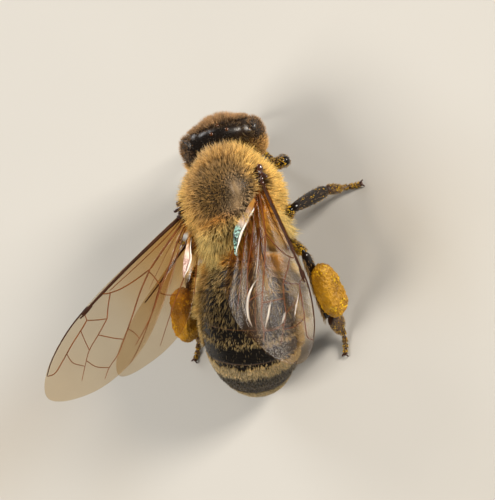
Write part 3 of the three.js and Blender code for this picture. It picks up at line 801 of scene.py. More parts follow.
# ---- Legs ----
def leg_parts(name):
    """Each joint of a leg: its path, its width and depth along it, its thin direction and its caps."""
    hip, knee, ankle, instep, claws = (np.array(p, float) for p in LEGS[name])
    side = np.sign(knee[0])
    hind = name.startswith("hind")
    thin = np.array([side, 0.35 if hind else 0, 0.25])
    sole = instep + (claws - instep) * 0.6
    sole[2] = instep[2] * 0.12 + claws[2] * 0.88
    bow = np.array([0, 0, 0.05])
    thigh, shank = [hip, (hip + knee) / 2 + bow, knee], [knee, (knee + ankle) / 2 + bow * 0.6, ankle]
    heel = [ankle, (ankle + instep) / 2, instep]
    parts = {"femur": (thigh, (0.3, 0.5, 0.52, 0.46, 0.34), (0.3, 0.42, 0.44, 0.4, 0.32), thin,
        (0.1, 0.12))}
    if hind:
        parts["tibia"] = (shank, (0.34, 0.5, 0.74, 0.94, 1.02), (0.34, 0.36, 0.32, 0.3, 0.3), thin,
            (0.08, 0.05))
        parts["metatarsus"] = (heel, (0.84, 0.92, 0.86, 0.6), (0.3, 0.3, 0.28, 0.24), thin, (0.07, 0.12))
    else:
        parts["tibia"] = (shank, (0.34, 0.46, 0.54, 0.54, 0.46), (0.32, 0.42, 0.47, 0.46, 0.4), thin,
            (0.1, 0.1))
        parts["metatarsus"] = (heel, (0.34, 0.4, 0.36, 0.26), (0.26, 0.3, 0.28, 0.22), thin, (0.08, 0.12))
    foot = through([instep, sole, claws], np.linspace(0, 1, 9))
    for i in range(4):
        ends = (i / 4, (i + 0.95) / 4)
        size = 0.24 if i < 3 else 0.2
        path = through(foot, np.linspace(*ends, 3))
        wide, deep = (size * 0.7, size * 0.9, size * 1.15), (size * 0.6, size * 0.75, size * 0.9)
        parts[f"foot_joint_{i + 2}"] = (path, wide, deep, thin, (0.2, 0.2))
    return parts


def off_floor(p):
    """Lifts points that would be under the floor onto it."""
    p = p.copy()
    p[:, 2] = np.maximum(p[:, 2], 0)
    return p


def claw_hooks(name):
    """Two hooked claws and the soft pad between them."""
    instep, claws = (np.array(p, float) for p in LEGS[name][3:])
    ahead = unit((claws - instep) * (1, 1, 0))
    beside = np.array([-ahead[1], ahead[0], 0])
    hooks = []
    for side in SIDES.values():
        steps = ((-0.04, 0, 0), (0.1, 0.07, 0.05), (0.15, 0.13, -0.02), (0.12, 0.15, -0.075))
        line = [claws + ahead * a + beside * side * b + (0, 0, c) for a, b, c in steps]
        hooks.append(bar(line, (0.08, 0.07, 0.05, 0.02), (0.08, 0.07, 0.05, 0.02), (0, 0, 1), 8, 12))
    hooks.append(ball(claws + ahead * 0.03 - (0, 0, 0.03), (0.09, 0.09, 0.06), around=14, rings=8))
    return move_points(joined(hooks), off_floor)


for name in LEGS:
    parts = leg_parts(name)
    for piece_name in ("femur", "tibia", "foot"):
        made = []
        for member, (path, width, depth, thin, caps) in parts.items():
            small = member.startswith("foot")
            if member == piece_name or piece_name == "foot" and (small or member == "metatarsus"):
                made.append(bar(path, width, depth, thin, 14 if small else 22, 12 if small else 30, caps))
        piece = joined(made)
        if piece_name == "foot":
            settle(claw_hooks(name), f"{name}_claws", MOUTH_SHELL, "leg")
            settle(move_points(piece, off_floor), f"{name}_foot", TARSUS_SHELL, "leg", f"{name}_tarsus")
        else:
            settle(piece, f"{name}_{piece_name}_shell", LEG_SHELL, "leg", f"{name}_{piece_name}")


# ---- Pollen loads ----
def load_frame(name):
    """Middle of a leg's load, and the directions across, along and out from its shank."""
    knee, ankle = np.array(LEGS[name][1], float), np.array(LEGS[name][2], float)
    line = unit(ankle - knee)
    aside = np.array([np.sign(knee[0]), 0.9, 0])
    outward = unit(aside - line * (aside @ line))
    middle = knee + (ankle - knee) * POLLEN_PLACE + outward * POLLEN_OUT
    return middle, np.cross(line, outward), line, outward


def heavy_end(p):
    """Widens the lower end of a load and flattens its outer face, so that it is a blunt wedge."""
    p = p.copy()
    p[:, 0] *= 1 + 0.16 * p[:, 1]
    p[:, 2] *= 1 + 0.14 * p[:, 1]
    p = np.sign(p) * np.abs(p) ** 0.8
    p[:, 2] = np.where(p[:, 2] > POLLEN_FLAT, POLLEN_FLAT + (p[:, 2] - POLLEN_FLAT) * 0.35, p[:, 2])
    return p


lumps = bpy.data.textures.new("lumps", "CLOUDS")
lumps.noise_scale, lumps.noise_depth = 0.5, 2
grit = bpy.data.textures.new("grit", "CLOUDS")
grit.noise_scale, grit.noise_depth = 0.07, 1
for word in SIDES:
    centre, across, line, outward = load_frame(f"hind_leg_{word}")
    load = ball((0, 0, 0), POLLEN_HALF, around=120, rings=90, shape=heavy_end)
    move_points(load, lambda p: p @ np.stack([across, line, outward]) + centre)
    finished(load, "DISPLACE", texture=lumps, texture_coords="LOCAL", strength=0.16, mid_level=0.6)
    finished(load, "DISPLACE", texture=grit, texture_coords="LOCAL", strength=0.1, mid_level=0.5)
    settle(close_up(load), f"packed_pollen_{word}", POLLEN, "pollen", f"pollen_load_{word}")

# ---- Wings: outlines in a wing's plane, along it and back across it ----
FOREWING = [(0, -0.1), (2.4, -0.06), (4.8, -0.02), (6.9, 0.28), (8.3, 0.84), (8.95, 1.55), (8.6, 2.22),
    (7.5, 2.8), (6.2, 3.02), (4.9, 2.86), (3.5, 2.3), (2.1, 1.5), (0.9, 0.72), (0, 0.4)]
HINDWING = [(0, -0.15), (2, -0.1), (4, -0.08), (5.6, 0.2), (6.35, 0.72), (5.9, 1.26), (4.7, 1.74),
    (3.3, 1.86), (2.1, 1.4), (1, 0.82), (0.2, 0.4)]
# Each pair's direction, its twist about that, and how far the hindwing hangs back, in degrees.
WINGS = {"left": ((0.82, 0.45, 0.34), 0, 12), "right": ((-0.228, 0.948, 0.4115), 0.5, 14)}

# The folded lobe's outer and inner edge in the forewing's plane.
FOLD_EDGES = {
    "right": (
        [(0.73, 0.56), (0.99, 1.04), (1.24, 1.56), (1.6, 1.94), (2.13, 2.14), (2.53, 2.27)],
        [(1.05, 0.53), (1.34, 0.96), (1.63, 1.38), (1.99, 1.79), (2.33, 2.08), (2.6, 2.29)],
    ),
    "left": (
        [(0.63, 0.92), (1.02, 1.14), (1.28, 1.33), (1.54, 1.52), (1.8, 1.77), (2, 1.98)],
        [(0.62, 1), (0.97, 1.35), (1.26, 1.69), (1.57, 1.87), (1.83, 1.97), (2.02, 2.02)],
    ),
}
# The hinge's lever and knots: along, back and up from the root, and each knot's size.
LEVER = [(-0.36, -0.03, 0.16), (-0.04, -0.17, 0.2), (0.31, -0.31, 0.12)]
HINGE_KNOTS = [
    (0.24, 0.2, 0.08, 0.08), (0.02, 0.26, 0.08, 0.07), (0.32, 0.0, 0.08, 0.09),
    (-0.1, 0.16, 0.1, 0.08), (0.3, 0.3, 0.04, 0.07), (0.2, 0.44, -0.02, 0.08),
]

# Veins in a wing's plane: points along and back, then thickness at the root and at the end.
FORE_VEINS = {
    "front": ([(0.0, 0.0), (1.5, 0.02), (3.0, 0.03), (4.4, 0.08), (5.2, 0.12), (5.7, 0.15)], 0.2, 0.12),
    "edge": ([(5.3, 0.06), (6.2, 0.16), (7.0, 0.34), (7.8, 0.62), (8.35, 0.93)], 0.09, 0.05),
    "stigma": ([(5.15, 0.14), (5.5, 0.2), (5.85, 0.2)], 0.14, 0.08),
    "median": ([(0.1, 0.16), (0.9, 0.34), (1.7, 0.52), (2.58, 0.74)], 0.12, 0.1),
    "under_front": ([(0.12, 0.08), (1.2, 0.2), (2.6, 0.24), (4.3, 0.22)], 0.06, 0.04),
    "crease_one": ([(0.2, 0.24), (1.1, 0.52), (2.2, 0.92), (3.2, 1.3)], 0.04, 0.02),
    "crease_two": ([(0.2, 0.34), (0.9, 0.74), (1.7, 1.26), (2.6, 1.84)], 0.05, 0.02),
    "basal": ([(2.58, 0.74), (3.3, 0.62), (3.95, 0.45), (4.35, 0.27), (4.55, 0.12)], 0.07, 0.06),
    "first_radial": ([(4.32, 0.3), (4.75, 0.62), (5.15, 0.98)], 0.06, 0.06),
    "cell_one": ([(5.15, 0.98), (5.45, 0.7), (5.72, 0.44)], 0.05, 0.05),
    "stigma_foot": ([(5.6, 0.2), (5.72, 0.44)], 0.05, 0.05),
    "radial": (
        [(5.72, 0.44), (6.15, 0.56), (6.8, 0.72), (7.5, 0.94), (8.05, 1.08), (8.35, 0.95)], 0.07, 0.05),
    "cell_two": ([(6.18, 0.57), (6.36, 1.0), (6.52, 1.42)], 0.05, 0.05),
    "cell_three": ([(7.2, 0.84), (7.3, 1.3), (7.1, 1.78)], 0.05, 0.04),
    "medial": ([(5.15, 0.98), (5.8, 1.2), (6.52, 1.42), (7.1, 1.78), (7.6, 2.12)], 0.06, 0.03),
    "recurrent_one": ([(5.85, 1.22), (5.6, 1.68), (5.3, 2.08)], 0.05, 0.05),
    "recurrent_two": ([(6.9, 1.66), (6.82, 2.1), (6.5, 2.5)], 0.05, 0.04),
    "cubital": (
        [(2.58, 0.74), (3.5, 1.14), (4.4, 1.62), (5.3, 2.08), (5.9, 2.36), (6.5, 2.5), (6.95, 2.72)],
        0.09, 0.03),
    "anal": (
        [(0.1, 0.3), (0.9, 0.6), (1.8, 1.06), (2.8, 1.58), (3.7, 2.08), (4.6, 2.44), (5.2, 2.62)],
        0.09, 0.04),
    "anal_cross": ([(2.7, 0.8), (2.72, 1.15), (2.82, 1.6)], 0.06, 0.06),
    "cubital_cross": ([(4.9, 1.88), (4.85, 2.2), (4.9, 2.52)], 0.05, 0.04),
}
FRONT_EDGE = ("front", "edge", "stigma")
HIND_VEINS = {
    "front": ([(0.0, 0.0), (1.2, 0.0), (2.4, 0.02), (3.4, -0.02)], 0.14, 0.07),
    "radial": ([(2.3, 0.02), (3.1, 0.28), (4.0, 0.55), (5.0, 0.78), (5.8, 0.86)], 0.07, 0.03),
    "median": ([(0.05, 0.14), (0.9, 0.4), (1.7, 0.7), (2.6, 0.92), (3.6, 1.2), (4.6, 1.5)], 0.09, 0.03),
    "cross": ([(2.75, 0.16), (2.66, 0.55), (2.5, 0.88)], 0.05, 0.05),
    "anal": ([(0.05, 0.22), (0.7, 0.6), (1.4, 1.02), (2.2, 1.5)], 0.07, 0.03),
}


def wing_frame(word):
    """Root and directions of a forewing, along it, back across it and up from it, then its hindwing's."""
    span, twist, hang = WINGS[word]
    side = SIDES[word]
    along = unit(np.array(span, float))
    rise = unit(np.array([0, 0, 1]) - along * along[2])
    level = np.cross(along, rise) * -side
    turn = math.radians(twist)
    back = level * math.cos(turn) + rise * math.sin(turn)
    top = np.cross(along, back) * side
    root = WING_ROOT * (side, 1, 1)
    swing = math.radians(hang)
    hind_root = root + along * 0.3 + back * 0.72 - top * WING_STEP
    hind_along = along * math.cos(swing) + back * math.sin(swing)
    hind_back = back * math.cos(swing) - along * math.sin(swing)
    return (root, along, back, top), (hind_root, hind_along, hind_back, top)


def edges(outline, length):
    """Front and back edge of a wing, as functions of the way along it, and how far its tip is."""
    p = np.array(outline, float)
    loop = np.vstack([p, p[:1]])
    line = through(loop, np.linspace(0, (len(p) - 1) / len(p), 600)) * (length / p[:, 0].max())
    tip = int(line[:, 0].argmax())
    front, back = line[:tip + 1].T, line[tip:][::-1].T
    return lambda u: np.interp(u, *front), lambda u: np.interp(u, *back), line[tip, 0]


def wing_lift(u, v, length):
    """How far the membrane stands out of its plane: hollow from edge to edge, and pleated like a fan."""
    share = np.clip(u / length, 0, 1)
    fan = v / (0.45 + 0.3 * u)
    pleats = 0.05 * np.cos(fan * 9.0) * ease(share, 0.0, 0.15) * (1 - 0.5 * share)
    return pleats + 0.28 * share * (1 - share) - 0.1 * share**2


def wing_place(frame_of, length):
    """Where a spot in a wing's plane lies once the wing is arched and pleated."""
    root, along, back, top = frame_of

    def place(u, v):
        return root + np.outer(u, along) + np.outer(v, back) + np.outer(wing_lift(u, v, length), top)

    return place


def vein_mesh(veins, place, scale):
    """Ribs that run in the membrane, round in section and thinner outwards."""
    made = []
    for line, thick, thin in veins.values():
        count = max(8, int(6 * len(line)))
        spots = through(line, np.linspace(0, 1, count)) * scale
        route = place(spots[:, 0], spots[:, 1])
        sizes = np.linspace(thick, thin, 3) * 0.8
        made.append(bar(route, sizes, sizes, (0.02, 0.01, 1), 8, count * 2, caps=(0.03, 0.03)))
    return joined(made)


for word, side in SIDES.items():
    fore, hind = wing_frame(word)
    for kind, frame_of, outline, length, veins in (
            ("forewing", fore, FOREWING, FOREWING_LENGTH, FORE_VEINS),
            ("hindwing", hind, HINDWING, HINDWING_LENGTH, HIND_VEINS)):
        front, rear, reach = edges(outline, length)
        place = wing_place(frame_of, length)

        def sheet(a, b):
            u = reach * np.sin(a * math.pi / 2)
            v = front(u) + (rear(u) - front(u)) * b
            return place(u, v)

        membrane = plate(110, 44, sheet, MEMBRANE_WALL)
        settle(close_up(membrane), f"{kind}_membrane_{word}", MEMBRANE, "wing", f"{kind}_{word}")
        scale = length / max(along for along, back in outline)
        leading = {part: veins[part] for part in veins if part in FRONT_EDGE}
        inner = {part: veins[part] for part in veins if part not in FRONT_EDGE}
        settle(vein_mesh(leading, place, scale), f"{kind}_front_vein_{word}", COSTA, "wing")
        settle(vein_mesh(inner, place, scale), f"{kind}_veins_{word}", VEIN, "wing")

    # The narrow lobe behind the wing's root is folded up against the back; its shine is painted into its
    # colour.
    root, along, back, top = fore
    outer_edge, inner_edge = FOLD_EDGES[word]

    def fold(a, b):
        spot = through(outer_edge, a) * (1 - b)[:, None] + through(inner_edge, a) * b[:, None]
        groove = 0.12 * np.exp(-(((b - 0.68) / 0.05) ** 2))
        height = 0.1 - 0.08 * b - groove + 0.015 * np.sin(a * 19 + b * 5)
        return root + np.outer(spot[:, 0], along) + np.outer(spot[:, 1], back) + np.outer(height, top)

    settle(close_up(plate(36, 24, fold, MEMBRANE_WALL)), f"wing_fold_{word}", FOLDS[word], "wing")

    # A scale-like cap, and under it a bar, a ring and knots of hard chitin that turn the wing.
    cap_place = WING_ROOT * (side, 1, 1) + (side * 0.1, -0.38, -0.01)
    cap = ball(cap_place, (0.14, 0.2, 0.11), (-14, side * 24, side * 20), 32, 22)
    finished(cap, "DISPLACE", texture=lumps, texture_coords="LOCAL", strength=0.06, mid_level=0.5)
    settle(cap, f"wing_cap_{word}", WING_BASE, "shell", f"tegula_{word}")

    def hinge_spot(a, b, c):
        return root + along * a + back * b + top * c

    bpy.ops.mesh.primitive_torus_add(major_segments=30, minor_segments=12, major_radius=0.15,
        minor_radius=0.06)
    ring = bpy.context.object
    move_points(ring, lambda p: hinge_spot(0.1, 0.04, 0.13) + p * (1, 1.15, 1)
        @ np.stack([along, back, top]))
    lever_line = [hinge_spot(*spot) for spot in LEVER]
    lever = bar(lever_line, (0.13, 0.18, 0.14), (0.1, 0.13, 0.11), top, 14, 20)
    knots = []
    for *spot, size in HINGE_KNOTS:
        knots.append(ball(hinge_spot(*spot), (size, size * 1.3, size * 0.8), (0, 0, 20), 18, 12))
    hinge = joined([close_up(ring), lever] + knots)
    finished(hinge, "DISPLACE", texture=grit, texture_coords="LOCAL", strength=0.03, mid_level=0.5)
    settle(hinge, f"wing_hinge_{word}", WING_BASE, "shell")

# The right wing's creases over the back: pale ridges in its plane, painted highlights, and each one's width.
CREASE_HIGHLIGHT_LINES = [
    ([(4.37, 1.98), (4.69, 2.37), (5.17, 2.7), (5.76, 2.9), (6.3, 2.94)], 0.11),
    ([(5.75, 1.78), (6.27, 2.15), (6.7, 2.5)], 0.09),
    ([(6.7, 1.44), (6.9, 1.6), (7.1, 1.77)], 0.1),
    ([(6.25, 0.6), (6.78, 0.97), (7.2, 1.25)], 0.06),
    ([(2.6, 1.05), (3.3, 1.42), (4.2, 1.9)], 0.04),
]
fore, hind = wing_frame("right")
place = wing_place(fore, FOREWING_LENGTH)
ridges = []
for line, width in CREASE_HIGHLIGHT_LINES:
    spots = through(line, np.linspace(0, 1, 16))
    route = place(spots[:, 0], spots[:, 1]) + fore[3] * 0.015
    ridges.append(bar(route, (width * 0.3, width, width, width * 0.3), (0.03, 0.05, 0.03), fore[3], 10, 36,
        caps=(0.3, 0.3)))
settle(joined(ridges), "wing_crease_highlights_right", CREASE_HIGHLIGHT, "wing")


# ---- Coat ----
MOST_HAIRS = 14000        # in one piece
BAKE_PATCH = 0.0028       # across one hair's patch on the OFBake map


def wing_shields():
    """Planes that hairs stop short of: root, along, back, top, length and how far back."""
    shields = []
    for word in SIDES:
        fore, hind = wing_frame(word)
        shields.append((*fore, FOREWING_LENGTH, 3.1))
        shields.append((*hind, HINDWING_LENGTH, 2.0))
    return shields


SHIELDS = wing_shields()


def under_wings(roots, tips):
    """Shortens hairs that would come through a wing, to end just under it."""
    clear = 0.14
    for root, along, back, top, length, wide in SHIELDS:
        start, end = (roots - root) @ top, (tips - root) @ top
        u, v = (tips - root) @ along, (tips - root) @ back
        below = (u > 0.2) & (u < length) & (v > -0.2) & (v < wide)
        crossing = below & (start < -0.05) & (start > -1.3) & (end > -clear)
        keep = np.clip((-clear - start) / np.maximum(end - start, 1e-6), 0.2, 1)
        tips = np.where(crossing[:, None], roots + (tips - roots) * keep[:, None], tips)
    return tips


def held_in(p, middle, half):
    """Draws points that stand out of a rounded body back to about its surface."""
    reach = np.linalg.norm((p - middle) / half, axis=1, keepdims=True)
    return middle + (p - middle) / np.maximum(reach * LUCK.uniform(0.97, 1.12, (len(p), 1)), 1)


def hair_faces(rings):
    """Faces of one three-sided hair: its closed root, the walls between its rings, and its point."""
    faces = [[0, 2, 1]]
    pairs = [(j, (j + 1) % 3) for j in range(3)]
    for k in range(0, 3 * (rings - 1), 3):
        faces += [[k + a, k + b, k + 3 + b, k + 3 + a] for a, b in pairs]
    last = 3 * rings - 3
    return faces + [[last + a, last + b, last + 3] for a, b in pairs]


def hairs(name, roots, lean_way, tips, width, colours, spread, material, rings=2):
    """Tapered, pointed hairs in one mesh: bent ones have two rings of points or more, stubble has one."""
    roots, lean_way = np.asarray(roots, float), np.asarray(lean_way, float)
    tips = under_wings(roots, np.asarray(tips, float))
    tips[:, 2] = np.maximum(tips[:, 2], 0.03)
    count, size = len(roots), 3 * rings + 1
    reach = np.linalg.norm(tips - roots, axis=1, keepdims=True)
    middle = roots + unit(lean_way) * reach * 0.55
    side = unit(np.cross(lean_way, LUCK.normal(size=(count, 3))))
    other = unit(np.cross(lean_way, side))
    points = np.empty((count, size, 3))
    tint = np.ones((count, size, 4))
    shade = LUCK.normal(1, 0.15, (count, 1)).clip(0.6, 1.4)
    for k in range(rings):
        s = 0.92 * k / rings
        centre = (1 - s) ** 2 * roots + 2 * s * (1 - s) * middle + s * s * tips
        for j in range(3):
            turn = 2 * math.pi * j / 3
            outward = side * math.cos(turn) + other * math.sin(turn)
            points[:, 3 * k + j] = centre + outward * (width[:, None] * 0.5 * (1 - 0.55 * s))
            tint[:, 3 * k + j, :3] = (colours[0] + (colours[1] - colours[0]) * s) * shade
    points[:, -1] = tips
    tint[:, -1, :3] = colours[1] * shade
    faces = hair_faces(rings)
    corners = np.concatenate(faces)
    starts = np.cumsum([0] + [len(f) for f in faces[:-1]])
    each = np.arange(count)[:, None]
    loops = (corners[None] + size * each).ravel()
    mesh = bpy.data.meshes.new(name)
    mesh.vertices.add(count * size)
    mesh.vertices.foreach_set("co", points.ravel())
    mesh.loops.add(len(loops))
    mesh.loops.foreach_set("vertex_index", loops.astype(np.int32))
    mesh.polygons.add(count * len(faces))
    mesh.polygons.foreach_set("loop_start", (starts[None] + len(corners) * each).ravel().astype(np.int32))
    mesh.update(calc_edges=True)
    mesh.attributes.new("tint", "FLOAT_COLOR", "POINT").data.foreach_set("color", tint.ravel())
    turn = np.arange(size) * 2.4
    patch = np.stack([np.cos(turn), np.sin(turn)], 1) * BAKE_PATCH / 2
    spots = np.clip(spread, 0.004, 0.996)[:, None, :] + patch[None]
    mesh.uv_layers.new(name="OFBake").data.foreach_set("uv", spots.reshape(-1, 2)[loops].ravel())
    piece = bpy.data.objects.new(name, mesh)
    bpy.context.scene.collection.objects.link(piece)
    return settle(piece, name, material, "coat")


def coat(name, roots, lean_way, tips, width, colours, spread, material, rings=2):
    """Lays hairs as one piece, or as several where there are very many."""
    parts = math.ceil(len(roots) / MOST_HAIRS)
    for part, some in enumerate(np.array_split(np.argsort(roots[:, 0]), parts)):
        label = f"{name}_{part + 1}" if parts > 1 else name
        shades_of_some = [c[some] for c in colours]
        hairs(label, roots[some], lean_way[some], tips[some], width[some], shades_of_some, spread[some],
              material, rings)


def sprout(piece, wanted, chance):
    """Random places on a piece and their normals, as thick as chance says."""
    mesh = piece.data
    mesh.calc_loop_triangles()
    corners = np.empty(len(mesh.loop_triangles) * 3, np.int32)
    mesh.loop_triangles.foreach_get("vertices", corners)
    corners = corners.reshape(-1, 3)
    area = np.empty(len(corners))
    mesh.loop_triangles.foreach_get("area", area)
    normals = np.empty(len(mesh.vertices) * 3)
    mesh.vertices.foreach_get("normal", normals)
    normals = normals.reshape(-1, 3)
    place = points_of(piece)
    weight = area * chance(place[corners].mean(1))
    pick = LUCK.choice(len(corners), wanted, p=weight / weight.sum())
    a, b = LUCK.random((2, wanted, 1))
    over = a + b > 1
    a, b = np.where(over, 1 - a, a), np.where(over, 1 - b, b)
    c = corners[pick]
    roots = place[c[:, 0]] * (1 - a - b) + place[c[:, 1]] * a + place[c[:, 2]] * b
    ups = unit(normals[c[:, 0]] * (1 - a - b) + normals[c[:, 1]] * a + normals[c[:, 2]] * b)
    return roots, ups


def locks(roots, tips, every, pull, contrast=0.16):
    """Draws the tips of neighbouring hairs together into locks; gives the tips and each lock's own shade."""
    heads = LUCK.choice(len(roots), max(2, len(roots) // every), replace=False)
    tree = kdtree.KDTree(len(heads))
    for i, h in enumerate(heads):
        tree.insert(roots[h], i)
    tree.balance()
    lock = np.array([tree.find(r)[1] for r in roots])
    head = heads[lock]
    lean_to = tips[head] - roots[head] + (roots[head] - roots) * 0.75
    own = tips - roots
    length = np.linalg.norm(own, axis=1, keepdims=True)
    amount = pull * LUCK.random((len(roots), 1)) ** 0.5
    shade = LUCK.normal(1, contrast, (len(heads), 1)).clip(0.5, 1.5)[lock]
    return roots + unit(own * (1 - amount) + lean_to * amount) * length, shade


def globe_spread(p, centre):
    """Place on an unwrap of a round body about its own middle."""
    x, y, z = unit(p - np.array(centre)).T
    return np.stack([0.5 + np.arctan2(x, -y) / (2 * math.pi),
        0.5 + np.arcsin(np.clip(z, -1, 1)) / math.pi], 1)


def near(p, spot, size):
    """1 at a spot, fading to 0 at about twice the given sizes from it."""
    return np.exp(-(np.linalg.norm((p - np.array(spot)) / np.array(size), axis=1) ** 2))


# Places on the thorax, as a middle and half sizes: where it is worn bare and painted paler, a painted sheen;
# its small back plate; and the hollow behind that, where shade is painted.
WORN_AND_SHEEN = (((-0.84, -0.2, 5.5), (0.24, 0.4, 0.5)), ((-0.68, 0.5, 5.4), (0.46, 0.34, 0.6)))
SMALL_PLATE = ((0.2, 0.84, 5.4), (0.62, 0.26, 0.5))
REAR_HOLLOW = ((0.0, 1.4, 4.95), (0.5, 0.36, 0.6))
DISC = np.array([-0.28, -0.34, 5.6])    # middle of the short dark pile, from which the long hair parts
DISC_HALF = (1.16, 1.2)
WING_SOCKETS = [WING_ROOT * (side, 1, 1) + (0, -0.05, 0) for side in SIDES.values()]


def worn_and_sheen_share(p):
    """1 where the back is worn bare, and painted paler there as a painted sheen."""
    return np.clip(sum(near(p, *patch) for patch in WORN_AND_SHEEN), 0, 1)


def disc_share(p):
    """1 in the short pile on the middle of the back, 0 in the long hair round it."""
    x, y, z = p.T
    ragged_edge = 0.05 * np.sin(7 * x + 3 * y) + 0.04 * np.sin(11 * y - 5 * x)
    out = np.hypot((x - DISC[0]) / DISC_HALF[0], (y - DISC[1]) / DISC_HALF[1])
    return ease(z, 4.5, 5.1) * (1 - ease(out + ragged_edge, 0.68, 1.06))


def thorax_kinds(p):
    """Shares of each kind of hair: dark on the disc and, as painted shade, in the hollow; golden round it;
    palest on the sides and behind, where the cream is painted light.
    """
    x, y, z = p.T
    disc, hollow = disc_share(p), near(p, *REAR_HOLLOW)
    flank = ease(-x, 0.6, 1.7) * 0.9 + ease(4.7 - z, 0, 1) * 0.6
    return {
        "disc": disc * 2.2,
        # Worn patches: real wear, with a painted sheen in pale hair.
        "worn_and_sheen": sum(near(p, *patch) for patch in WORN_AND_SHEEN) * 8,
        "orange": near(p, *SMALL_PLATE) * 3.0,
        # Dark hair in the hollow: painted shade.
        "dark": hollow * 1.2,
        "gold": (flank + 0.8 * ease(y, 0.5, 1.1) + 0.6 * ease(x, 0.8, 1.6)) * (1 - disc) + 0.02,
        # Cream behind: painted light on hair that lies in the thorax's shade.
        "lit_cream": 4.5 * ease(y, 0.7, 1.3) * (1 - disc) * (1 - hollow),
        "tan": 0.6 * (1 - disc) + 0.02,
    }


def head_kinds(p):
    """Shares of each kind of hair: brown on the crown, grey on the face, golden by the right cheek."""
    x, y, z = (upright(p) - HEAD).T
    crown = ease(z, 0.3, 0.8) * ease(-y, 0.0, 0.3)
    nape = ease(y, 0.1, 0.3) * (1 - ease(z, 0.6, 0.9))
    return {
        "crown": crown * 1.3,
        "gold": nape * 1.5 * ease(-x, 0.5, 0.9) + 0.02,
        "face": (1 - crown) * 0.5 * ease(-y, 0, 0.3) + 0.02,
        "dark": (1 - crown) * (0.6 - 0.5 * ease(-x, 0.2, 0.8)),
    }


def skin_tint(p):
    """The skin is as dark as the roots of the coat, and bare where the back is worn, and paler there: a
    painted sheen.
    """
    head = ease(-p[:, 1], 1.95, 2.15)[:, None]
    body = blend_kinds(thorax_kinds(p))[0] * (0.3 + 0.9 * worn_and_sheen_share(p)[:, None])
    return body * (1 - head) + blend_kinds(head_kinds(p))[0] * 0.4 * head


tint = np.ones((len(skin.data.vertices), 4))
tint[:, :3] = skin_tint(points_of(skin))
tint[:, 3] = 0.45 * ease(points_of(skin)[:, 1], -2.2, -1.9)
skin.data.attributes.new("tint", "FLOAT_COLOR", "POINT").data.foreach_set("color", tint.ravel())


def thorax_chance(p):
    """Fur all over the thorax, thin where it is worn and below, and none at the wing hinges."""
    x, y, z = p.T
    inside = ease(y, -2.12, -1.95) * (1 - ease(y, 1.95, 2.1)) * ease(z, 2.0, 2.5)
    worn_and_sheen = sum(near(p, *patch) for patch in WORN_AND_SHEEN)
    hinges = sum(near(p, w, (0.46, 0.56, 0.46)) for w in WING_SOCKETS)
    below = 0.35 + 0.65 * ease(z, 2.5, 3.4)
    bare = np.clip(1 - 0.85 * worn_and_sheen, 0.15, 1) * np.clip(1 - 1.5 * hinges, 0, 1)
    return inside * bare * (1 + 0.9 * disc_share(p)) * (1 - 0.5 * near(p, *REAR_HOLLOW)) * below


roots, ups = sprout(skin, 36000, thorax_chance)
x, y, z = roots.T
disc = disc_share(roots)[:, None]
worn_and_sheen = worn_and_sheen_share(roots)
cropped = np.clip(near(roots, *SMALL_PLATE) + near(roots, *REAR_HOLLOW), 0, 1)
collar = ease(-y, 0.9, 1.5) * (1 - ease(np.abs(x + 0.8), 0.8, 1.5)) * ease(z, 3.9, 4.5)
skirt = ease(y, 0.7, 1.3) * ease(np.abs(x), 0.5, 1.1)
outward = unit((roots - (DISC[0], DISC[1], 3.9)) * (1, 1, 0.25))
long_part = (0.42 + 0.2 * collar + 0.55 * skirt) * (1 - disc[:, 0]) * (1 - 0.6 * cropped)
length = (0.19 + long_part) * (1 - 0.8 * worn_and_sheen) * LUCK.uniform(0.55, 1.2, len(roots))
lean_way = unit(ups * 0.9 + outward * 0.35 * (1 - disc) + LUCK.normal(0, 0.2, roots.shape))
hang_way = np.array([0, 0.1, -0.1]) + skirt[:, None] * np.array([0, 0.45, 0.25])
end_way = unit(ups * 0.45 + outward * 0.75 + hang_way + LUCK.normal(0, 0.22, roots.shape))
aim_way = unit(lean_way * (0.4 + 0.45 * disc) + end_way * (0.6 - 0.35 * disc))
tips, shade = locks(roots, roots + aim_way * length[:, None], 6, 0.8, 0.2)
tips = held_in(tips, THORAX, THORAX_HALF * (1.03 + (0.18 * collar + 0.34 * skirt)[:, None]))
width = (0.034 - 0.009 * disc[:, 0]) * LUCK.uniform(0.7, 1.2, len(roots))
colours = [c * shade for c in blend_kinds(thorax_kinds(roots))]
spread = globe_spread(roots, THORAX)
short, on_left = disc[:, 0] > 0.5, x > 0.1
for word, some in {"pile": short, "left": ~short & on_left, "right": ~short & ~on_left}.items():
    coat(f"coat_thorax_{word}", roots[some], lean_way[some], tips[some], width[some],
         [c[some] for c in colours], spread[some], HAIR, 1 if word == "pile" else 2)


def head_chance(p):
    """Fur on brow and nape, short hair on the face; the crown behind the simple eyes is bare and shines."""
    q = upright(p) - HEAD
    x, y, z = q.T
    inside = ease(-p[:, 1], 2.05, 2.2)
    eyes = sum((np.linalg.norm((upright(p) - e) / (EYE_HALF * 1.06), axis=1) < 1).astype(float)
        for e in EYES.values())
    bald = ease(z, 0.25, 0.5) * ease(y, -0.46, -0.3)
    shield = near(q, (0, -0.72, -0.96), (0.5, 0.4, 0.45))
    sockets = sum(near(q, (side * 0.36, -0.55, -0.3), (0.22, 0.3, 0.22)) for side in SIDES.values())
    lip = 1 - ease(z, -1.4, -1.1)
    brow = ease(z, 0.4, 0.9) * (1 - ease(y, -0.46, -0.3)) * (1 - 0.5 * ease(np.abs(x), 0.4, 1.1))
    left_nape = ease(y, 0.05, 0.2) * ease(x, 0.1, 0.6)
    bare = 0.985 * bald + 0.8 * shield + sockets + 0.6 * lip + 0.7 * left_nape
    return inside * np.clip(1 + 1.2 * brow - bare, 0.03, 3) * (1 - np.clip(eyes, 0, 1))


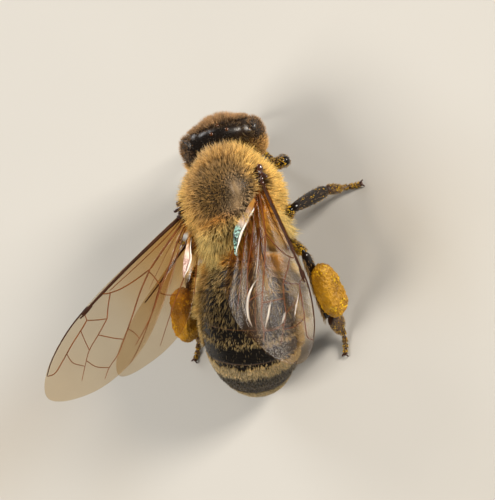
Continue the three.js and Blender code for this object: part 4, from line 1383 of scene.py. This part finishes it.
roots, ups = sprout(skin, 15000, head_chance)
x, y, z = (upright(roots) - HEAD).T
brow = ease(z, 0.35, 0.9) * ease(-y, 0.2, 0.4) * (1 - 0.9 * ease(np.abs(x), 0.25, 1.0))
nape = ease(y, 0.1, 0.3)
length = (0.16 + 0.24 * brow + 0.14 * nape) * LUCK.uniform(0.4, 1.3, len(roots))
droop = 0.5 * brow - 0.2 * nape - 0.3 * (1 - np.maximum(brow, nape))
fall = np.stack([x * 0.6, -0.3 + 0.4 * nape, droop], 1) @ HEAD_TURN.T
lean_way = unit(ups + LUCK.normal(0, 0.25, roots.shape))
aim_way = unit(lean_way * 0.9 + fall + LUCK.normal(0, 0.25, roots.shape))
tips, shade = locks(roots, roots + aim_way * length[:, None], 6, 0.6, 0.2)
width = (0.022 + 0.012 * brow) * LUCK.uniform(0.7, 1.2, len(roots))
colours = [c * shade for c in blend_kinds(head_kinds(roots))]
coat("coat_head", roots, lean_way, tips, width, colours, globe_spread(roots, HEAD), HAIR)


def one_kind(kind, count):
    """Root and tip colours of hairs that are all of one kind."""
    return [np.tile(c, (count, 1)) for c in HAIRS[kind]]


# The compound eyes carry short fine hairs between their lenses, and tan fur grows round their hind edge.
for word, eyeball in eyeballs.items():
    roots, ups = sprout(eyeball, 1700, lambda p: 0.25 + ease((upright(p) - HEAD)[:, 2], -0.6, 0.9))
    lean_way = unit(ups + LUCK.normal(0, 0.12, roots.shape))
    tips = roots + unit(lean_way + np.array([0, -0.2, 0.3])) * LUCK.uniform(0.08, 0.2, (len(roots), 1))
    coat(f"coat_eye_{word}", roots, lean_way, tips, np.full(len(roots), 0.017),
         one_kind("crown", len(roots)), globe_spread(roots, EYES[word]), HAIR)
    upper = 0.5 if word == "right" else 0

    def hind_edge(p):
        _, y, z = (upright(p) - HEAD).T
        return ease(y, 0.22, 0.4) * (1 - ease(z, upper, upper + 0.35)) + 1e-6

    roots, ups = sprout(eyeball, 1500, hind_edge)
    lean_way = unit(ups * 0.7 + np.array([0, 0.2, 0.5]) + LUCK.normal(0, 0.15, roots.shape))
    away = np.array([0.6 * SIDES[word], -0.1, 0.7])
    aim_way = unit(ups * 0.6 + away + LUCK.normal(0, 0.2, roots.shape))
    tips = roots + aim_way * LUCK.uniform(0.12, 0.34, (len(roots), 1))
    coat(f"coat_cheek_{word}", roots, lean_way, tips, np.full(len(roots), 0.024),
         one_kind("tan", len(roots)), globe_spread(roots, EYES[word]), HAIR)
    settle(eyeball, f"compound_eye_{word}", EYE, "eye", f"eye_{word}")


def at(rule, a, v):
    """A rule's value at each hair: a number, or a function of the angle and the way along the plate."""
    return rule(a, v) if callable(rule) else np.full(len(a), float(rule))


def plate_hairs(ring, count, width, chance, size, lift, kinds, rings=2, belly=False):
    """Hairs on one plate. chance, size, lift and the share of each kind are rules."""
    point, edge, middle = tergite_point, PLATE_EDGE, 0
    if belly:
        point, edge, middle = sternite_point, math.pi - PLATE_EDGE, math.pi
    first, last = plate_span(ring)
    angle, v = LUCK.uniform(-edge, edge, count), LUCK.uniform(0.04, 0.985, count)
    narrow = np.clip(abdomen_half(first + (last - first) * v) / ABDOMEN_HALF_WIDTH, 0.05, 1)
    keep = LUCK.random(count) < at(chance, angle, v) * narrow
    angle, v = angle[keep], v[keep]
    root = point(ring, angle + middle, v)
    step = 0.02
    behind, before = np.clip(v + step, 0, 1), np.clip(v - step, 0, 1)
    ahead = unit(point(ring, angle + middle, behind) - point(ring, angle + middle, before))
    aside = unit(point(ring, angle + middle + step, v) - point(ring, angle + middle - step, v))
    up = np.cross(aside, ahead)
    up *= np.sign(np.sum(up * (root - abdomen_frame(first + (last - first) * v)[0]), 1))[:, None]
    rise = at(lift, angle, v)[:, None]
    outward = aside * np.sign(angle)[:, None] * ease(np.abs(angle), 0.3, 1.4)[:, None]
    lean_way = unit(up * (rise + 0.3) + ahead * 0.6 + LUCK.normal(0, 0.15, root.shape))
    length = at(size, angle, v) * LUCK.uniform(0.65, 1.15, len(root))
    aim_way = unit(up * rise + ahead * 0.8 + outward * 0.3 + LUCK.normal(0, 0.17, root.shape))
    tip, shade = locks(root, root + aim_way * length[:, None], 5, 0.6, 0.22)
    spread = np.stack([0.5 + angle / (2 * edge) * 0.98, 0.02 + 0.96 * v], 1)
    thick = width * LUCK.uniform(0.75, 1.2, len(root))
    colours = [c * shade for c in blend_kinds({kind: at(share, angle, v) for kind, share in kinds.items()})]
    name = f"coat_{'belly' if belly else 'abdomen'}_{ring + 1}"
    coat(name, root, lean_way, tip, thick, colours, spread, HAIR if rings > 1 else FELT, rings)


def flank(a, first=1.0):
    """0 on top of the abdomen, 1 down its sides; on the right, under the wing, it starts lower down."""
    start = np.where(a > 0, first, 1.38)
    return ease((np.abs(a) - start) / 0.34)


def waist_flank(a, v):
    """The first ring's flank: its long hair reaches higher up the sides near the waist."""
    return flank(a, 0.7 + 0.4 * ease(v, 0.2, 0.6))


def ragged(a, v):
    """The way along a plate, made uneven so that bands of felt have broken edges."""
    return v + 0.035 * np.sin(11 * a) + 0.03 * np.sin(23 * a + 1) + 0.02 * np.sin(41 * a)


def line_across(v, middle, width):
    """1 on a line across a plate, fading out in front of it and behind."""
    return np.exp(-(((v - middle) / width) ** 2))


def fourth_ring_felt(a, v):
    """Thick in front of the middle, thin behind it, and next to none at the rim."""
    along = ragged(a, v)
    pale_band = 1.2 * (1 - ease(along, 0.5, 0.68)) * ease(along, 0.24, 0.32)
    return np.clip(0.06 + pale_band, 0, 1) * (1 - 0.9 * ease(v, 0.93, 0.97)) + 0.2 * ease(v, 0.6, 0.7)


# First ring: long gold hair, thick in front and on the sides, the cream on its sides painted light; black
# with thin olive hair behind.
plate_hairs(
    0, 15000, 0.022,
    chance=lambda a, v: (0.05 + 0.11 * ease(a, -0.3, 0.5)
                         + 0.8 * np.maximum(waist_flank(a, v), 1 - ease(v, 0.18, 0.36))),
    size=lambda a, v: 0.62 - 0.36 * v * (1 - flank(a)),
    lift=lambda a, v: 0.4 + 1.0 * np.maximum(flank(a), 1 - ease(v, 0, 0.3)),
    kinds={
        "gold": lambda a, v: 1 - ease(v, 0.2, 0.4) + 0.6 * waist_flank(a, v),
        "lit_cream": lambda a, v: 3.0 * waist_flank(a, v),
        "orange": lambda a, v: 1.2 * (1 - flank(a, 0.7)) * (1 - ease(v, 0.2, 0.4)),
        "olive": lambda a, v: 0.05 + ease(v, 0.15, 0.4),
    })
# Second: black, with thin long olive hair that lies back, and a gold fringe down its sides, its cream painted
# light.
plate_hairs(
    1, 10500, 0.018,
    chance=lambda a, v: 0.03 + 0.12 * ease(a, -0.35, 0.3) + 0.75 * ease(flank(a), 0.1, 1),
    size=lambda a, v: 0.38 - 0.16 * v * (1 - flank(a)) + 0.24 * flank(a),
    lift=lambda a, v: 0.34 - 0.14 * v + 1.2 * flank(a),
    kinds={
        "olive": 0.9,
        "gold": lambda a, v: ease(flank(a), 0.1, 1),
        "lit_cream": lambda a, v: 1.6 * ease(flank(a), 0.1, 1),
        "dark": lambda a, v: 0.1 * (1 - flank(a)),
    })
# Third: short sparse hair, and a broken line of pale felt across its middle.
plate_hairs(
    2, 9000, 0.025,
    chance=lambda a, v: (0.06 + 0.5 * line_across(ragged(a, v), 0.5, 0.07)
                         + 0.1 * line_across(ragged(a, v), 0.3, 0.08) + 0.6 * ease(flank(a), 0.3, 1)),
    size=lambda a, v: 0.13 + 0.2 * flank(a),
    lift=lambda a, v: 0.26 + 0.8 * flank(a),
    kinds={
        "dark": lambda a, v: 0.5 * (1 - flank(a)),
        "felt": lambda a, v: (1.4 * line_across(v, 0.5, 0.1) + 0.5 * line_across(v, 0.3, 0.1)
                              + 0.8 * flank(a)),
        "gold": lambda a, v: 0.6 * flank(a),
        "olive": 0.15,
    })
# Fourth: a dense pale band of felt in front, dark behind.
plate_hairs(
    3, 21000, 0.028,
    chance=fourth_ring_felt,
    size=lambda a, v: 0.13 + 0.1 * flank(a),
    lift=lambda a, v: 0.3 + 0.3 * flank(a),
    kinds={
        "dark": lambda a, v: 0.5 * ease(v, 0.52, 0.64) + 0.02,
        "felt": lambda a, v: 1.8 * (1 - ease(v, 0.54, 0.68)),
        "olive": lambda a, v: 0.06 + 0.12 * ease(v, 0.55, 0.7),
    }, rings=1)
# Fifth: dark in front, pale felt behind.
plate_hairs(
    4, 14000, 0.026,
    chance=lambda a, v: np.clip(0.3 + 0.8 * ease(ragged(a, v), 0.42, 0.56), 0, 1),
    size=0.12,
    lift=0.3,
    kinds={
        "dark": lambda a, v: 0.5 * (1 - ease(v, 0.42, 0.56)) + 0.02,
        "felt": lambda a, v: 1.8 * ease(v, 0.42, 0.56),
        "olive": 0.1,
    }, rings=1)
# The tip: short dark hair. The belly: thin pale hair.
plate_hairs(5, 3000, 0.022, chance=0.6, size=0.15, lift=0.28, kinds={"dark": 0.6, "olive": 0.4})
for ring in range(5):
    plate_hairs(
        ring, 2600, 0.02,
        chance=lambda a, v: 0.5 + 0.4 * ease(v, 0.4, 0.9),
        size=0.32 if ring < 2 else 0.16,
        lift=0.3,
        kinds={"tan": 0.6, "olive": 0.5}, belly=True)

# Legs: sparse golden bristles, with long fringes round the pollen baskets; the shanks are nearly bare.
leg_roots, leg_leans, leg_tips, leg_spread = [], [], [], []
for order, name in enumerate(LEGS):
    hind = name.startswith("hind")
    for step, (member, (path, width, depth, thin, caps)) in enumerate(leg_parts(name).items()):
        count = {"femur": 380, "tibia": 420 if hind else 150,
            "metatarsus": 420 if hind else 240}.get(member, 60)
        t, angle = LUCK.uniform(0.06, 0.96, count), LUCK.uniform(0, 2 * math.pi, count)
        if hind and member == "tibia":
            edge = LUCK.random(count) < 0.75
            angle = np.where(edge, np.where(LUCK.random(count) < 0.5, 0.0, math.pi)
                + LUCK.normal(0, 0.25, count), angle)
        root = bar_surface(path, width, depth, thin, t, angle, caps)
        out = unit(root - through(path, t))
        down = unit(through(path, np.clip(t + 0.02, 0, 1)) - through(path, np.clip(t - 0.02, 0, 1)))
        fringe = np.where((np.abs(np.sin(angle)) < 0.35) & hind & (member == "tibia"), 2.4, 1)
        usual = {"femur": 0.2, "tibia": 0.13, "metatarsus": 0.15}.get(member, 0.08)
        size = usual * fringe * LUCK.uniform(0.6, 1.2, count)
        lean_way = unit(out * 0.6 + down * 0.7 + LUCK.normal(0, 0.15, root.shape))
        tip = root + unit(out * 0.35 + down * 0.85 + LUCK.normal(0, 0.15, root.shape)) * size[:, None]
        clear = root[:, 2] > 0.05
        around = (order + 0.05 + 0.9 * angle / (2 * math.pi) % 1) / len(LEGS)
        spread = np.stack([around, (step + 0.05 + 0.9 * t) / 7], 1)
        leg_roots.append(root[clear])
        leg_leans.append(lean_way[clear])
        leg_tips.append(tip[clear])
        leg_spread.append(spread[clear])
count = sum(map(len, leg_roots))
coat("coat_legs", np.vstack(leg_roots), np.vstack(leg_leans), np.vstack(leg_tips), np.full(count, 0.02),
     one_kind("leg", count), np.vstack(leg_spread), HAIR)

settle(skin, "body_skin", SKIN, "shell", "head", "thorax", "petiole")

# ---- Loose pollen on legs and loads ----
bpy.ops.mesh.primitive_ico_sphere_add(subdivisions=1, radius=1)
seed = bpy.context.object
grain_points = points_of(seed)
grain_faces = np.array([tuple(f.vertices) for f in seed.data.polygons])
bpy.data.objects.remove(seed)


def dust(name, spots):
    """Loose grains, each about 0.05 mm across, stuck at these spots."""
    size = LUCK.uniform(0.016, 0.03, (len(spots), 1, 1))
    points = spots[:, None, :] + grain_points[None] * size
    faces = grain_faces[None] + len(grain_points) * np.arange(len(spots))[:, None, None]
    mesh = bpy.data.meshes.new(name)
    mesh.from_pydata(points.reshape(-1, 3).tolist(), [], faces.reshape(-1, 3).tolist())
    piece = bpy.data.objects.new(name, mesh)
    bpy.context.scene.collection.objects.link(piece)
    return settle(piece, name, GRAIN, "pollen")


for name in LEGS:
    spots = []
    for member, (path, width, depth, thin, caps) in leg_parts(name).items():
        count = {"femur": 200, "tibia": 26, "metatarsus": 110}.get(member, 20)
        t, angle = LUCK.beta(2.4, 1.0, count), LUCK.uniform(0, 2 * math.pi, count)
        spots.append(bar_surface(path, width, depth, thin, np.clip(t, 0.03, 0.97), angle, caps))
    spots = np.vstack(spots)
    dust(f"{name}_dust", spots[spots[:, 2] > 0.04])

# ---- Floor, light and camera ----
bpy.ops.mesh.primitive_plane_add(size=1.6)
floor = bpy.context.object
floor.name = "floor"
floor.data.materials.append(board_material())

# The view: turned about the bee from its face, raised above the floor, and rolled.
VIEW_TURN, VIEW_RAISED, VIEW_ROLL = (math.radians(a) for a in (224.766, 65.472, -66.427))
TARGET = PLACE @ Vector((0, 0, 3.9))
LEVEL = Vector((math.sin(VIEW_TURN), -math.cos(VIEW_TURN), 0))
TOWARDS = LEVEL * math.cos(VIEW_RAISED) + Vector((0, 0, math.sin(VIEW_RAISED)))
RIGHT = Matrix.Rotation(VIEW_ROLL, 3, TOWARDS) @ Vector((-LEVEL.y, LEVEL.x, 0))
UP = TOWARDS.cross(RIGHT)


def lamp(name, place, size, power, tone, glint=True):
    """A soft square lamp aimed at the bee."""
    bpy.ops.object.light_add(type="AREA", location=place)
    light = bpy.context.object
    light.name = name
    light.data.size = size
    light.data.energy = power
    light.data.color = linear(tone)[:3]
    light.visible_glossy = glint
    light.rotation_mode = "QUATERNION"
    light.rotation_quaternion = (light.location - TARGET).to_track_quat("Z", "Y")


# The key lamp is ahead of the bee on its right, and the fill lamp behind it on its left, where it
# leaves no glints. The sheen lamp is where the folded wing mirrors it to the camera.
lamp("key", TARGET + (RIGHT * 0.6 + UP * 0.55 + TOWARDS * 0.7) * 0.17, 0.055, 0.42, "#fff6ea")
lamp("fill", TARGET + (RIGHT * -0.8 + UP * -0.3 + TOWARDS * 0.6) * 0.18, 0.1, 0.3, "#fff8ee", glint=False)
lamp("sheen", TARGET + Vector((0.427, -0.856, 0.32)) * 0.17, 0.08, 0.15, "#ffffff")
world = bpy.data.worlds.new("pale_room")
bpy.context.scene.world = world
world.use_nodes = True
sky = world.node_tree.nodes["Background"]
sky.inputs["Color"].default_value = linear("#f2f1ee")
sky.inputs["Strength"].default_value = 0.2

bpy.context.scene.view_settings.view_transform = "Standard"
camera_data = bpy.data.cameras.new("camera")
camera = bpy.data.objects.new("camera", camera_data)
bpy.context.scene.collection.objects.link(camera)
bpy.context.scene.camera = camera
DISTANCE, FRAME_WIDTH = 0.25, 0.0198
camera_data.sensor_fit = "HORIZONTAL"
camera_data.sensor_width = 36
camera_data.lens = camera_data.sensor_width * DISTANCE / FRAME_WIDTH
camera_data.clip_start, camera_data.clip_end = 0.01, 10
aim = TARGET + (RIGHT * 0.58 + UP * -1.76) * 0.001
camera_turn = Matrix((RIGHT, UP, TOWARDS)).transposed().to_4x4()
camera.matrix_world = Matrix.Translation(aim + TOWARDS * DISTANCE) @ camera_turn
